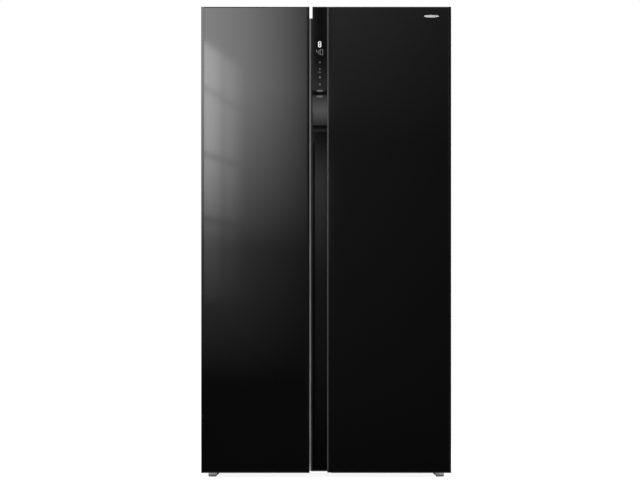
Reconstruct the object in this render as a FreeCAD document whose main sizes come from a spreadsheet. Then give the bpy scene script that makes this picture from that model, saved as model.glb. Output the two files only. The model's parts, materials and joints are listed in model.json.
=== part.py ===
import FreeCAD, Part
import math
import os
import re
import Sketcher

# Side-by-side refrigerator: freezer on the left, fresh food on the right.
# Millimetres, +Z up, the doors face -Y, and the origin lies on the floor under the middle of the appliance.
# Each sub-part is one object of the document. Its label is the name of its file.

SIZES = [
    # alias, millimetres, what it is
    ("overall_width", 925, "over both doors"),
    ("overall_depth", 690, "door glass to wall spacers"),
    ("door_top", 1741, "floor to the top of the doors"),
    ("door_bottom", 16, "floor to the underside of the doors"),
    ("strip_bottom", 27, "floor to the underside of the handle strip"),
    ("cabinet_top", 1700, "floor to the cabinet's top panel"),
    ("cabinet_inset", 2, "cabinet side, in from the door's edge"),
    ("base_height", 45, "floor to the base pan"),
    ("skirt_height", 30, "floor to the lower edge of the side panels"),
    ("rail_bottom", 20, "floor to the underside of the front rail"),
    ("rail_depth", 40, "front rail, front to back"),
    ("freezer_door_width", 400.5, "left door"),
    ("door_gap", 11, "between the doors"),
    ("door_thickness", 68, "glass face to the back of the door"),
    ("gasket_gap", 10, "door back to cabinet face"),
    ("gasket_width", 20, "gasket, across"),
    ("gasket_inset", 18.5, "gasket, in from the hinge side"),
    ("gasket_margin", 4, "gasket, in from the free edge"),
    ("gasket_bottom", 58, "floor to the gasket"),
    ("gasket_top", 1677, "floor to the gasket's top"),
    ("gasket_clearance", 0.3, "gasket to cabinet face when closed"),
    ("spacer_depth", 11, "wall spacers behind the back panel"),
    ("steel", 1, "sheet steel"),
    ("liner_sheet", 2, "thermoformed liner"),
    ("liner_lip", 7.5, "liner's flange on the cabinet face"),
    ("side_wall", 48, "outer side to liner"),
    ("mullion_half", 35, "half the wall between the compartments"),
    ("ceiling", 55, "cabinet top to liner"),
    ("inner_floor", 90, "floor to the compartments' floor"),
    ("rear_wall", 55, "liner to back panel"),
    ("step_front", 75, "front of the step over the machine space"),
    ("step_top", 300, "floor to the top of that step"),
    ("step_wall", 55, "insulation around the machine space"),
    ("glass", 4, "door glass"),
    ("profile_face", 10, "edge profile seen from the front"),
    ("profile_web", 2.5, "edge profile's web"),
    ("profile_round", 2.5, "rounding of the door's outer edge"),
    ("cap_height", 46, "door's bottom end cap"),
    ("top_cap_height", 54, "door's top end cap"),
    ("cap_lip", 3, "end cap seen over the glass"),
    ("pivot_in", 14, "hinge pin, in from the side"),
    ("pivot_back", 40, "hinge pin, back from the glass"),
    ("pin_radius", 5, "hinge pin"),
    ("pin_clearance", 0.06, "running clearance round the pin"),
    ("pin_length", 24, "pin inside the door"),
    ("arm_half", 12, "half the width of a hinge arm"),
    ("notch_in", 38, "room for the hinge in the door, in from the side"),
    ("notch_front", 16, "door front left over at that notch"),
    ("hinge_plate", 4, "hinge plate thickness"),
    ("upper_arm", 1716, "floor to the upper hinge arm"),
    ("lower_arm", 30, "floor to the lower hinge arm"),
    ("arm_room", 4, "door to the upper hinge arm"),
    ("cover_top", 1736, "floor to the top of the hinge covers"),
    ("strip_width", 55, "handle strip seen from the front"),
    ("strip_wall", 2.5, "handle strip moulding"),
    ("edge_trim", 4, "metal edge of the right glass"),
    ("grip_depth", 38, "glass face to the grip's floor"),
    ("grip_reach", 11, "finger room behind the glass edge"),
    ("grip_lip", 20, "grip's left wall, back from the glass face"),
    ("panel_bottom", 1237, "floor to the lower end of the control panel"),
    ("ramp_top", 1400, "upper corner of the panel's ramp"),
    ("ramp_bottom", 1320, "lower corner of the panel's ramp"),
    ("ramp_radius", 195, "bends of the ramp"),
    ("ramp_depth", 34, "how far the ramp leads in"),
    ("ridge_depth", 45, "door liner's ridge, front to back"),
    ("ridge_gap", 12.5, "ridge to compartment wall"),
    ("ridge_width", 24, "ridge, across"),
    ("bin_depth", 99, "door bin, front to back"),
    ("bin_height", 120, "door bin"),
    ("bin_first", 130, "floor to the lowest bin"),
    ("bin_pitch", 300, "one bin to the next"),
    ("bin_wall", 2.5, "door bin moulding"),
    ("shelf_front", -165, "front edge of the shelves"),
    ("shelf_glass", 4, "shelf thickness"),
    ("drawer_front", -163, "front face of the drawers"),
    ("drawer_wall", 2.5, "drawer moulding"),
    ("drawer_gap", 6, "drawer to compartment wall"),
    ("freezer_depth", 205, "back of the freezer's shelves and drawers"),
    ("fridge_depth", 245, "back of the fridge's shelves and drawers"),
    ("lower_depth", 65, "back of the drawers in front of the step"),
    ("lower_shelf", 312, "floor to the shelf over the lower drawers"),
    ("upper_shelf", 566, "floor to the shelf over the upper drawers"),
    ("shelf_pitch", 262, "one shelf to the next"),
    ("leg_in", 41, "levelling leg, in from the side"),
    ("leg_back", 98, "levelling leg, back from the glass"),
    ("leg_radius", 15.5, "foot of the leg"),
    ("foot_height", 18, "floor to the top of that foot"),
    ("stud_radius", 5, "leg's thread"),
    ("lug_in", 47, "lug behind the leg, in from the side"),
    ("lug_width", 19, "that lug, across"),
    ("lug_bottom", 6, "floor to that lug"),
    ("lug_thickness", 4.3, "that lug, front to back"),
    ("rear_roller_in", 60, "rear roller, in from the side"),
    ("roller_radius", 18, "rollers"),
    ("roller_width", 14, "rollers"),
    ("roller_back", 45, "rear roller's axle, in from the back"),
    ("axle_radius", 4, "roller axles"),
    ("axle_clearance", 0.08, "running clearance round an axle"),
    ("compressor_x", -285, "middle of the compressor"),
    ("compressor_radius", 80, "compressor shell"),
    ("machine_middle", 232, "middle of the machine space, front to back"),
    ("fan_x", 15, "condenser fan"),
    ("fan_radius", 66, "condenser fan"),
    ("fan_height", 142, "floor to the condenser fan's axis"),
    ("evaporator_cover_back", 217, "back of the evaporator's cover"),
    ("cold_fan_radius", 48, "evaporator fan"),
    ("cold_fan_height", 1180, "floor to the evaporator fan's axis"),
    ("hub_radius", 18, "hub of both fans"),
    ("fan_deep", 20, "both fans, front to back"),
    ("shaft_radius", 3, "fan shafts"),
    ("pipe", 4, "refrigerant pipe"),
    ("inlet_x", -60, "mains inlet"),
    ("inlet_height", 110, "floor to the mains inlet"),
    ("ice_axis", 1568, "floor to the ice tray's axis"),
    ("ice_half", 52, "half the width of the ice tray"),
    ("ice_front", -150, "front of the ice tray"),
    ("ice_back", 60, "back of the ice tray"),
    ("ice_deep", 34, "ice tray, top to bottom"),
]

doc = FreeCAD.newDocument("Refrigerator")
sheet = doc.addObject("Spreadsheet::Sheet", "Sizes")
for row, (alias, number, note) in enumerate(SIZES, start=1):
    sheet.set(f"A{row}", note)
    sheet.set(f"B{row}", str(number))
    sheet.setAlias(f"B{row}", alias)
doc.recompute()
ALIASES = {alias for alias, number, note in SIZES}

# Places that follow from the sizes, as formulas.
LEFT = "(-overall_width / 2)"
RIGHT = "(overall_width / 2)"
FREEZER_EDGE = f"({LEFT} + freezer_door_width)"
FRIDGE_EDGE = f"({FREEZER_EDGE} + door_gap)"
MULLION = f"({FREEZER_EDGE} + door_gap / 2)"
FRONT = "(-overall_depth / 2)"
DOOR_BACK = f"({FRONT} + door_thickness)"
FACE = f"({DOOR_BACK} + gasket_gap)"
REAR = "(overall_depth / 2)"
BACK_PANEL = f"({REAR} - spacer_depth - steel)"
FREEZER_LEFT = f"({LEFT} + side_wall)"
FREEZER_RIGHT = f"({MULLION} - mullion_half)"
FRIDGE_LEFT = f"({MULLION} + mullion_half)"
FRIDGE_RIGHT = f"({RIGHT} - side_wall)"
INNER_TOP = "(cabinet_top - ceiling)"
INNER_BACK = f"({BACK_PANEL} - rear_wall)"
MACHINE_FRONT = "(step_front + step_wall)"
MACHINE_TOP = "(step_top - step_wall)"
SHEET_LEFT = f"({LEFT} + cabinet_inset + steel)"
SHEET_RIGHT = f"({RIGHT} - cabinet_inset - steel)"
PIVOT_Y = f"({FRONT} + pivot_back)"
GRIP_FLOOR = f"({FRONT} + grip_depth)"
GLASS_BACK = f"({FRONT} + glass)"
TRIM_LEFT = f"({FRIDGE_EDGE} + strip_width)"
CHANNEL_RIGHT = f"({TRIM_LEFT} + grip_reach)"
BIN_BACK = f"({DOOR_BACK} + 1 + bin_depth)"
COMPARTMENTS = {"freezer": (FREEZER_LEFT, FREEZER_RIGHT), "fridge": (FRIDGE_LEFT, FRIDGE_RIGHT)}
SIDES = ("left", "right")

pieces = {}


def formula(text):
    """The text as a FreeCAD expression, with each alias read from the sheet."""
    return re.sub(r"[a-z_]+", lambda word: f"Sizes.{word[0]}" if word[0] in ALIASES else word[0], text)


def bind(thing, **places):
    """Binds properties to formulas. A double underscore in a name stands for a full stop."""
    for name, text in places.items():
        thing.setExpression(name.replace("__", "."), formula(text))
    return thing


def size(alias):
    """A number from the sheet, for the few calls that take no formula."""
    return float(sheet.get(alias))


def node(label, thing):
    """Names a finished sub-part."""
    thing.Label = label
    pieces[label] = thing
    return thing


def block(x, y, z):
    """A box, from its low and high formula along each axis."""
    box = doc.addObject("Part::Box", "Block")
    return bind(box, Length=f"({x[1]}) - ({x[0]})", Width=f"({y[1]}) - ({y[0]})",
                Height=f"({z[1]}) - ({z[0]})", Placement__Base__x=x[0],
                Placement__Base__y=y[0], Placement__Base__z=z[0])


def rod(axis, centre, radius, length):
    """A cylinder along x, y or z that starts at centre."""
    cylinder = doc.addObject("Part::Cylinder", "Rod")
    turned = {"x": FreeCAD.Rotation(FreeCAD.Vector(0, 1, 0), 90),
              "y": FreeCAD.Rotation(FreeCAD.Vector(1, 0, 0), -90),
              "z": FreeCAD.Rotation()}[axis]
    cylinder.Placement = FreeCAD.Placement(FreeCAD.Vector(), turned)
    return bind(cylinder, Radius=radius, Height=length, Placement__Base__x=centre[0],
                Placement__Base__y=centre[1], Placement__Base__z=centre[2])


def fuse(*shapes):
    """Several shapes as one. Shapes that don't touch stay separate solids."""
    joined = doc.addObject("Part::MultiFuse", "Fuse")
    joined.Shapes = list(shapes)
    return joined


def cut(base, *tools):
    """The base without the tools, if there are any."""
    if not tools:
        return base
    result = doc.addObject("Part::Cut", "Cut")
    result.Base = base
    result.Tool = tools[0] if len(tools) == 1 else fuse(*tools)
    return result


def rounded(base, radius, wanted):
    """The base with the wanted edges rounded."""
    doc.recompute()
    result = doc.addObject("Part::Fillet", "Rounded")
    result.Base = base
    result.Edges = [(number, radius, radius)
                    for number, edge in enumerate(base.Shape.Edges, start=1) if wanted(edge)]
    return result


def runs_along(edge, axis):
    """True for a straight edge along x, y or z."""
    if not isinstance(edge.Curve, Part.Line):
        return False
    return abs(getattr(edge.Curve.Direction, axis)) > 0.999


def at(edge, **places):
    """True where the middle of an edge's box lies at the given places."""
    middle = edge.BoundBox.Center
    return all(abs(getattr(middle, axis) - place) < 0.01 for axis, place in places.items())


def new_body(label):
    """An empty PartDesign body that becomes a sub-part."""
    body = doc.addObject("PartDesign::Body", label)
    body.AllowCompound = True
    return body


def new_sketch(body, plane, height):
    """A sketch in one of the body's own planes, height above it along the plane's normal."""
    sketch = body.newObject("Sketcher::SketchObject", "Sketch")
    origin_plane = next(f for f in body.Origin.OriginFeatures if f.Role == plane + "_Plane")
    sketch.AttachmentSupport = [(origin_plane, "")]
    sketch.MapMode = "FlatFace"
    return bind(sketch, AttachmentOffset__Base__z=height)


def outline(sketch, points):
    """A closed outline of straight lines through points, each a pair of formulas."""
    first = sketch.GeometryCount
    count = len(points)
    turns = [2 * math.pi * number / count for number in range(count + 1)]
    corners = [FreeCAD.Vector(100 * math.cos(turn), 100 * math.sin(turn), 0) for turn in turns]
    for start, end in zip(corners, corners[1:]):
        sketch.addGeometry(Part.LineSegment(start, end))
    for number in range(count):
        following = first + (number + 1) % count
        sketch.addConstraint(Sketcher.Constraint("Coincident", first + number, 2, following, 1))
    for number, (across, up) in enumerate(points):
        for kind, text in (("DistanceX", across), ("DistanceY", up)):
            index = sketch.addConstraint(Sketcher.Constraint(kind, -1, 1, first + number, 1, 10))
            sketch.setExpression(f"Constraints[{index}]", formula(text))
    return sketch


def extrude(body, sketch, length):
    """A pad of a sketch along its plane's normal."""
    pad = body.newObject("PartDesign::Pad", "Pad")
    pad.Profile = sketch
    bind(pad, Length=length)
    doc.recompute()
    return pad


def soften(body, kind, radius, wanted):
    """A PartDesign Fillet or Chamfer of the wanted edges."""
    doc.recompute()
    tip = body.Tip
    names = [f"Edge{n}" for n, edge in enumerate(tip.Shape.Edges, start=1) if wanted(edge)]
    feature = body.newObject("PartDesign::" + kind, kind)
    feature.Base = (tip, names)
    bind(feature, **{"Radius" if kind == "Fillet" else "Size": radius})
    return feature


def turned_part(label, plane, axis, points):
    """A body turned round one of its sketch's own axes."""
    body = new_body(label)
    sketch = outline(new_sketch(body, plane, "0"), points)
    turning = body.newObject("PartDesign::Revolution", "Revolution")
    turning.Profile = sketch
    turning.ReferenceAxis = (sketch, [axis])
    turning.Angle = 360
    return node(label, body)


def place(body, x, y, z):
    """Puts a finished body at a place."""
    return bind(body, Placement__Base__x=x, Placement__Base__y=y, Placement__Base__z=z)


def inward(side, near, far):
    """The x span from near to far inside the appliance's left or right side."""
    if side == "left":
        return f"{LEFT} + ({near})", f"{LEFT} + ({far})"
    return f"{RIGHT} - ({far})", f"{RIGHT} - ({near})"


def inside(side, distance):
    """The x that lies a distance inside the appliance's left or right side."""
    return f"({LEFT} + ({distance}))" if side == "left" else f"({RIGHT} - ({distance}))"


def tray(x, y, z, wall):
    """An open-topped tray."""
    hollow = block((f"{x[0]} + {wall}", f"{x[1]} - {wall}"), (f"{y[0]} + {wall}", f"{y[1]} - {wall}"),
                   (f"{z[0]} + {wall}", f"{z[1]} + 1"))
    return cut(block(x, y, z), hollow)


# ---- Cabinet -------------------------------------------------------------------------------------


def outer_shell():
    """The painted steel wrapper: both sides, the top and the flange that the gaskets close on."""
    body = block((f"{SHEET_LEFT} - steel", f"{SHEET_RIGHT} + steel"), (FACE, f"{BACK_PANEL} + steel"),
                 ("skirt_height", "cabinet_top"))
    room = block((SHEET_LEFT, SHEET_RIGHT), (f"{FACE} + steel", f"{REAR}"),
                 ("skirt_height - 1", "cabinet_top - steel"))
    mouth = block((f"{FREEZER_LEFT} - liner_lip", f"{FRIDGE_RIGHT} + liner_lip"),
                  (f"{FACE} - 1", f"{FACE} + 2 * steel"), ("skirt_height - 1", f"{INNER_TOP} + liner_lip"))
    below = block((SHEET_LEFT, SHEET_RIGHT), (f"{FACE} - 1", f"{FACE} + 2 * steel"),
                  ("skirt_height - 1", "base_height"))
    node("outer_shell", cut(body, room, mouth, below))


def base_pan():
    """One bent sheet: front flange, floor, the machine space's front wall and its roof."""
    body = new_body("base_pan")
    front = f"{FACE} + steel"
    sketch = outline(new_sketch(body, "YZ", SHEET_LEFT), [
        (front, "base_height"), (MACHINE_FRONT, "base_height"), (MACHINE_FRONT, MACHINE_TOP),
        (BACK_PANEL, MACHINE_TOP), (BACK_PANEL, f"{MACHINE_TOP} + steel"),
        (f"{MACHINE_FRONT} - steel", f"{MACHINE_TOP} + steel"),
        (f"{MACHINE_FRONT} - steel", "base_height + steel"), (f"{front} + steel", "base_height + steel"),
        (f"{front} + steel", "inner_floor - liner_lip"), (front, "inner_floor - liner_lip")])
    extrude(body, sketch, f"{SHEET_RIGHT} - {SHEET_LEFT}")
    node("base_pan", body)


def compartment(x, grown):
    """The space of one compartment with its step, grown by a wall."""
    room = block((f"{x[0]} - {grown}", f"{x[1]} + {grown}"), (f"{FACE} - 1", f"{INNER_BACK} + {grown}"),
                 (f"inner_floor - {grown}", f"{INNER_TOP} + {grown}"))
    step = block((f"{x[0]} - 10", f"{x[1]} + 10"), (f"step_front + {grown}", f"{INNER_BACK} + 10"),
                 ("inner_floor - 10", f"step_top - {grown}"))
    return cut(room, step)


def shelf_ribs(x, heights, back):
    """The ledges that the shelves slide in on."""
    ribs = []
    for height in heights:
        for low, high in ((x[0], f"{x[0]} + 9"), (f"{x[1]} - 9", x[1])):
            ribs.append(block((low, high), ("shelf_front + 12", back), (f"{height} - 7", height)))
    return ribs


def liner(name, heights, back):
    """A thermoformed liner with its flange and shelf ledges."""
    x = COMPARTMENTS[name]
    ahead = block((f"{x[0]} - 10", f"{x[1]} + 10"), (f"{FACE} - 2", FACE),
                  ("inner_floor - 10", f"{INNER_TOP} + 10"))
    flange = block((f"{x[0]} - liner_lip", f"{x[1]} + liner_lip"), (FACE, f"{FACE} + liner_sheet"),
                   ("inner_floor - liner_lip", f"{INNER_TOP} + liner_lip"))
    walls = cut(fuse(cut(compartment(x, "liner_sheet"), ahead), flange), compartment(x, "0"))
    node(f"{name}_liner", fuse(walls, *shelf_ribs(x, heights, back)))


def insulation():
    """The foam between the steel and the liners."""
    foam = block((SHEET_LEFT, SHEET_RIGHT), (f"{FACE} + liner_sheet", BACK_PANEL),
                 ("base_height + steel", "cabinet_top - steel"))
    machine_space = block((f"{SHEET_LEFT} - 1", f"{SHEET_RIGHT} + 1"),
                          (f"{MACHINE_FRONT} - steel", f"{BACK_PANEL} + 1"),
                          ("base_height", f"{MACHINE_TOP} + steel"))
    spaces = [compartment(x, "liner_sheet") for x in COMPARTMENTS.values()]
    node("insulation", cut(foam, machine_space, *spaces))


def mullion():
    """The steel cover between the compartments and the black strip beside its rib."""
    plate = block((f"{FREEZER_RIGHT} + liner_lip", f"{FRIDGE_LEFT} - liner_lip"), (FACE, f"{FACE} + steel"),
                  ("inner_floor - liner_lip", f"{INNER_TOP} + liner_lip"))
    proud = (f"{FACE} - 1.5", FACE)
    rib = block((f"{MULLION} - 7.5", MULLION), proud, ("rail_bottom", "cabinet_top"))
    node("mullion_cover", fuse(plate, rib))
    body = new_body("mullion_strip")
    sketch = outline(new_sketch(body, "XZ", f"-({FACE})"), [
        (f"{MULLION} + 5", "rail_bottom"), (f"{MULLION} + 7.5", "rail_bottom"),
        (f"{MULLION} + 7.5", "cabinet_top"), (MULLION, "cabinet_top"), (MULLION, "rail_bottom + 50")])
    extrude(body, sketch, "1.5")
    node("mullion_strip", body)


def back_panel():
    """The plain rear sheet, the wall spacers and the cover of the control board."""
    node("back_panel", block((SHEET_LEFT, SHEET_RIGHT), (BACK_PANEL, f"{BACK_PANEL} + steel"),
                             (f"{MACHINE_TOP} + steel", "cabinet_top - steel")))
    behind = (f"{BACK_PANEL} + steel", REAR)
    spacers = [block(inward(side, "90", "130"), behind, (f"{MACHINE_TOP} + {up}", f"{MACHINE_TOP} + {up} + 40"))
               for side in SIDES for up in (30, 1330)]
    node("wall_spacers", fuse(*spacers))
    cover = block(("90", "310"), (behind[0], f"{REAR} - 1"), ("1420", "1600"))
    doc.recompute()
    node("control_box_cover", rounded(cover, 8, lambda edge: runs_along(edge, "y")))


def lug(side):
    """The plate with slanted ends behind a levelling leg."""
    behind = f"({FRONT} + leg_back + leg_radius + 1.5)"
    plain = block(inward(side, "lug_in", "lug_in + lug_width"), (behind, f"{behind} + lug_thickness"),
                  ("lug_bottom", "rail_bottom"))
    doc.recompute()
    slanted = doc.addObject("Part::Chamfer", "Slanted")
    slanted.Base = plain
    bottom = size("lug_bottom")
    slant = 6
    slanted.Edges = [(number, slant, slant) for number, edge in enumerate(plain.Shape.Edges, start=1)
                     if runs_along(edge, "y") and at(edge, z=bottom)]
    return slanted


def base_frame():
    """Front rail, side rails and the machine space's floor, with the ears that carry the rollers."""
    across = (f"{LEFT} + 8", f"{RIGHT} - 8")
    solids = [block(across, (FACE, f"{FACE} + rail_depth"), ("rail_bottom", "base_height")),
              block(across, (MACHINE_FRONT, f"{BACK_PANEL} - 4"), ("base_height - 3", "base_height"))]
    holes = []
    axle_y = f"({REAR} - roller_back)"
    for side in SIDES:
        solids.append(block(inward(side, "8", "40"), (f"{FACE} + rail_depth", MACHINE_FRONT),
                            ("skirt_height", "base_height")))
        for near in ("rear_roller_in - 14", "rear_roller_in + 10"):
            solids.append(block(inward(side, near, f"{near} + 4"), (f"{axle_y} - 12", f"{axle_y} + 12"),
                                ("8", "base_height - 2")))
        solids.append(lug(side))
        holes.append(rod("z", (inside(side, "leg_in"), f"{FRONT} + leg_back", "rail_bottom - 1"),
                         "stud_radius + axle_clearance", "base_height - rail_bottom + 2"))
        low = inward(side, "rear_roller_in - 16", "rear_roller_in + 16")[0]
        holes.append(rod("x", (low, axle_y, "roller_radius"), "axle_radius + axle_clearance", "32"))
    node("base_frame", cut(fuse(*solids), *holes))


def hinges():
    """Upper and lower hinges with their pins, and the covers over the upper ones."""
    upper, lower, covers = [], [], []
    for side in SIDES:
        arm = inward(side, "pivot_in - arm_half", "pivot_in + arm_half")
        foot = inward(side, "pivot_in - arm_half", "64")
        pivot = inside(side, "pivot_in")
        upper.append(fuse(
            block(arm, (PIVOT_Y, f"{FACE} + 70"), ("upper_arm", "upper_arm + hinge_plate")),
            rod("z", (pivot, PIVOT_Y, "upper_arm"), "arm_half", "hinge_plate"),
            rod("z", (pivot, PIVOT_Y, "upper_arm - pin_length"), "pin_radius", "pin_length + hinge_plate"),
            block(foot, (f"{FACE} + 15", f"{FACE} + 75"), ("cabinet_top", "upper_arm + hinge_plate"))))
        lower.append(fuse(
            block(arm, (PIVOT_Y, FACE), ("lower_arm", "lower_arm + hinge_plate")),
            rod("z", (pivot, PIVOT_Y, "lower_arm"), "arm_half", "hinge_plate"),
            rod("z", (pivot, PIVOT_Y, "lower_arm + hinge_plate"), "pin_radius", "pin_length"),
            rod("z", (pivot, PIVOT_Y, "lower_arm + hinge_plate"), "pin_radius + 4", "5.7"),
            block(inward(side, "pivot_in - arm_half", "90"), (f"{FACE} - hinge_plate", FACE),
                  ("rail_bottom", "base_height"))))
        shell = block(inward(side, "1.5", "68"), (f"{FACE} + 8", f"{FACE} + 85"), ("cabinet_top", "cover_top"))
        room = block(inward(side, "pivot_in - arm_half - 0.3", "64.5"), (f"{FACE} + 5", f"{FACE} + 76"),
                     ("cabinet_top - 1", "upper_arm + hinge_plate + 0.5"))
        covers.append(cut(shell, room))
    node("upper_hinges", fuse(*upper))
    node("lower_hinges", fuse(*lower))
    doc.recompute()
    high = fuse(*covers)
    doc.recompute()
    top = size("cover_top")
    node("hinge_covers", rounded(high, 5, lambda edge: at(edge, z=top)))


# ---- Inside the cabinet --------------------------------------------------------------------------


def shelves(name, heights, back):
    """Glass shelves resting on the liner's ledges."""
    x = COMPARTMENTS[name]
    plates = [block((f"{x[0]} + 1", f"{x[1]} - 1"), ("shelf_front", back), (height, f"{height} + shelf_glass"))
              for height in heights]
    node(f"{name}_shelves", fuse(*plates))


def lamps():
    """The lamp lenses in the compartments' ceilings."""
    lenses = []
    for low, high in COMPARTMENTS.values():
        middle = f"(({low} + {high}) / 2)"
        lenses.append(block((f"{middle} - 70", f"{middle} + 70"), (f"{FACE} + 45", f"{FACE} + 70"),
                            (f"{INNER_TOP} - 6", INNER_TOP)))
    node("led_lamps", fuse(*lenses))


def fan(label, to_axis, radius, hub, deep, stub):
    """A fan and its shaft. It is drawn round its own Z axis, from the open side to the motor's side."""
    solids = [rod("z", ("0", "0", "0"), hub, deep)]
    count = 5
    for number in range(count):
        blade = doc.addObject("Part::Box", "Blade")
        bind(blade, Length=f"{radius} - {hub} + 5", Width="2.5", Height=f"{deep} * 1.15")
        around = FreeCAD.Rotation(FreeCAD.Vector(0, 0, 1), 360 * number / count)
        lean = FreeCAD.Rotation(FreeCAD.Vector(1, 0, 0), 48)
        start = around.multVec(FreeCAD.Vector(HUB - 5, 8, 2))
        blade.Placement = FreeCAD.Placement(start, around.multiply(lean))
        solids.append(blade)
    swept = doc.addObject("Part::MultiCommon", "Swept")
    swept.Shapes = [fuse(*solids), rod("z", ("0", "0", "0"), radius, deep)]
    wheel = fuse(swept, rod("z", ("0", "0", "1"), "shaft_radius", f"{deep} - 1 + {stub}"))
    wheel.Placement = FreeCAD.Placement(FreeCAD.Vector(), to_axis)
    return node(label, wheel)


def fin_block(label, x, y, z, rows, ends):
    """A coil: straight tubes along x through upright fins, between two end plates."""
    solids = []
    fins = 18
    for number in range(fins + 1):
        low = f"{x[0]} + 4 + ({x[1]} - {x[0]} - 9) * {number} / {fins}"
        solids.append(block((low, f"{low} + 1"), y, z))
    for low in (x[0], f"{x[1]} - 2"):
        solids.append(block((low, f"{low} + 2"), y, (ends, z[1])))
    for across, up in rows:
        solids.append(rod("x", (f"{x[0]} - 4", f"{y[0]} + {across}", f"{z[0]} + {up}"), "4",
                          f"{x[1]} - {x[0]} + 8"))
    return node(label, fuse(*solids))


def cold_parts():
    """Evaporator, its cover with the fan's motor, the fan, and the fridge's air duct."""
    middle = f"(({FREEZER_LEFT} + {FREEZER_RIGHT}) / 2)"
    rows = [(20, 30 + 55 * number) for number in range(6)]
    across = (f"{middle} - 135", f"{middle} + 135")
    fin_block("evaporator", across, ("226", "266"), ("345", "680"), rows, "step_top + 2")
    cover_front = "(evaporator_cover_back - 5)"
    cover = block((f"{FREEZER_LEFT} + 0.5", f"{FREEZER_RIGHT} - 0.5"), (cover_front, "evaporator_cover_back"),
                  ("step_top", INNER_TOP))
    holes = [rod("y", (middle, f"{cover_front} - 1", "cold_fan_height"), "cold_fan_radius + 3", "8")]
    for number in range(7):
        low = f"{middle} - 111 + {32 * number}"
        holes.append(block((low, f"{low} + 24"), (f"{cover_front} - 1", "evaporator_cover_back + 1"),
                           ("step_top + 24", "step_top + 33")))
    motor_front = "(evaporator_cover_back + 26)"
    level = ("cold_fan_height - 5", "cold_fan_height + 5")
    bracket = [block((f"{middle} - 60", f"{middle} + 60"), (motor_front, f"{motor_front} + 4"), level)]
    for low in (f"{middle} - 60", f"{middle} + 55"):
        bracket.append(block((low, f"{low} + 5"), ("evaporator_cover_back", f"{motor_front} + 4"), level))
    motor = rod("y", (middle, motor_front, "cold_fan_height"), "22", "26")
    bearing = rod("y", (middle, f"{motor_front} - 1", "cold_fan_height"), "shaft_radius + pin_clearance",
                  "20")
    node("evaporator_cover", cut(fuse(cut(cover, *holes), motor, *bracket), bearing))
    wheel = fan("evaporator_fan", FreeCAD.Rotation(FreeCAD.Vector(1, 0, 0), -90), "cold_fan_radius", "hub_radius",
                "fan_deep", "18")
    place(wheel, middle, "evaporator_cover_back + 3", "cold_fan_height")
    centre = f"(({FRIDGE_LEFT} + {FRIDGE_RIGHT}) / 2)"
    duct = block((f"{centre} - 95", f"{centre} + 95"), ("fridge_depth + 7", INNER_BACK), ("step_top", "1600"))
    vents = []
    for height in (660, 920, 1180, 1440):
        for low in (f"{centre} - 70", f"{centre} + 10"):
            vents.append(block((low, f"{low} + 60"), ("fridge_depth + 6", "fridge_depth + 20"),
                               (str(height), f"{height} + 9")))
    doc.recompute()
    front = size("fridge_depth") + 7
    softened = rounded(duct, 8, lambda edge: runs_along(edge, "z") and at(edge, y=front))
    node("air_duct_cover", cut(softened, *vents))


def machine_space():
    """Compressor, condenser, fan, tray and pipes behind the rear cover."""
    shell = rounded(rod("z", ("compressor_x", "machine_middle", "base_height + 21"), "compressor_radius", "140"), 42,
                    lambda edge: at(edge, z=size("base_height") + 161))
    plate = block(("compressor_x - 88", "compressor_x + 88"), ("machine_middle - 72", "machine_middle + 72"),
                  ("base_height + 15", "base_height + 23"))
    terminals = block(("compressor_x - 24", "compressor_x + 24"), ("machine_middle + 60", "machine_middle + 90"),
                      ("base_height + 60", "base_height + 112"))
    node("compressor", fuse(shell, plate, terminals))
    node("compressor_grommets", fuse(*[
        rod("z", (f"compressor_x + {x}", f"machine_middle + {y}", "base_height"), "12", "15")
        for x in (-74, 74) for y in (-58, 58)]))
    rows = [(30 + 40 * column, 28 + 41 * row) for column in range(3) for row in range(3)]
    height = ("base_height + 27", "base_height + 165")
    fin_block("condenser", ("122", "398"), ("162", "302"), height, rows, "base_height")
    node("evaporation_tray", tray(("128", "392"), ("166", "298"), ("base_height", "base_height + 22"), "2"))
    middle = "machine_middle"
    plate = block(("fan_x", "fan_x + 3"), (f"{MACHINE_FRONT} + 2", f"{BACK_PANEL} - 6"),
                  ("base_height", f"{MACHINE_TOP} - 2"))
    ring = rod("x", ("fan_x - 14", middle, "fan_height"), "fan_radius + 6", "17")
    hole = rod("x", ("fan_x - 15", middle, "fan_height"), "fan_radius + 3", "20")
    motor_side = "(fan_x + 22)"
    level = ("fan_height - 6", "fan_height + 6")
    bracket = [block((motor_side, f"{motor_side} + 4"), (f"{middle} - 78", f"{middle} + 78"), level)]
    for low in (f"{middle} - 78", f"{middle} + 73"):
        bracket.append(block(("fan_x", f"{motor_side} + 4"), (low, f"{low} + 5"), level))
    motor = rod("x", (motor_side, middle, "fan_height"), "26", "38")
    bearing = rod("x", (f"{motor_side} - 1", middle, "fan_height"), "shaft_radius + pin_clearance", "24")
    node("fan_shroud", cut(fuse(cut(fuse(plate, ring), hole), motor, *bracket), bearing))
    wheel = fan("condenser_fan", FreeCAD.Rotation(FreeCAD.Vector(0, 1, 0), 90), "fan_radius", "hub_radius",
                "fan_deep", "22")
    place(wheel, "fan_x - 4", middle, "fan_height")
    pipes()


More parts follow.
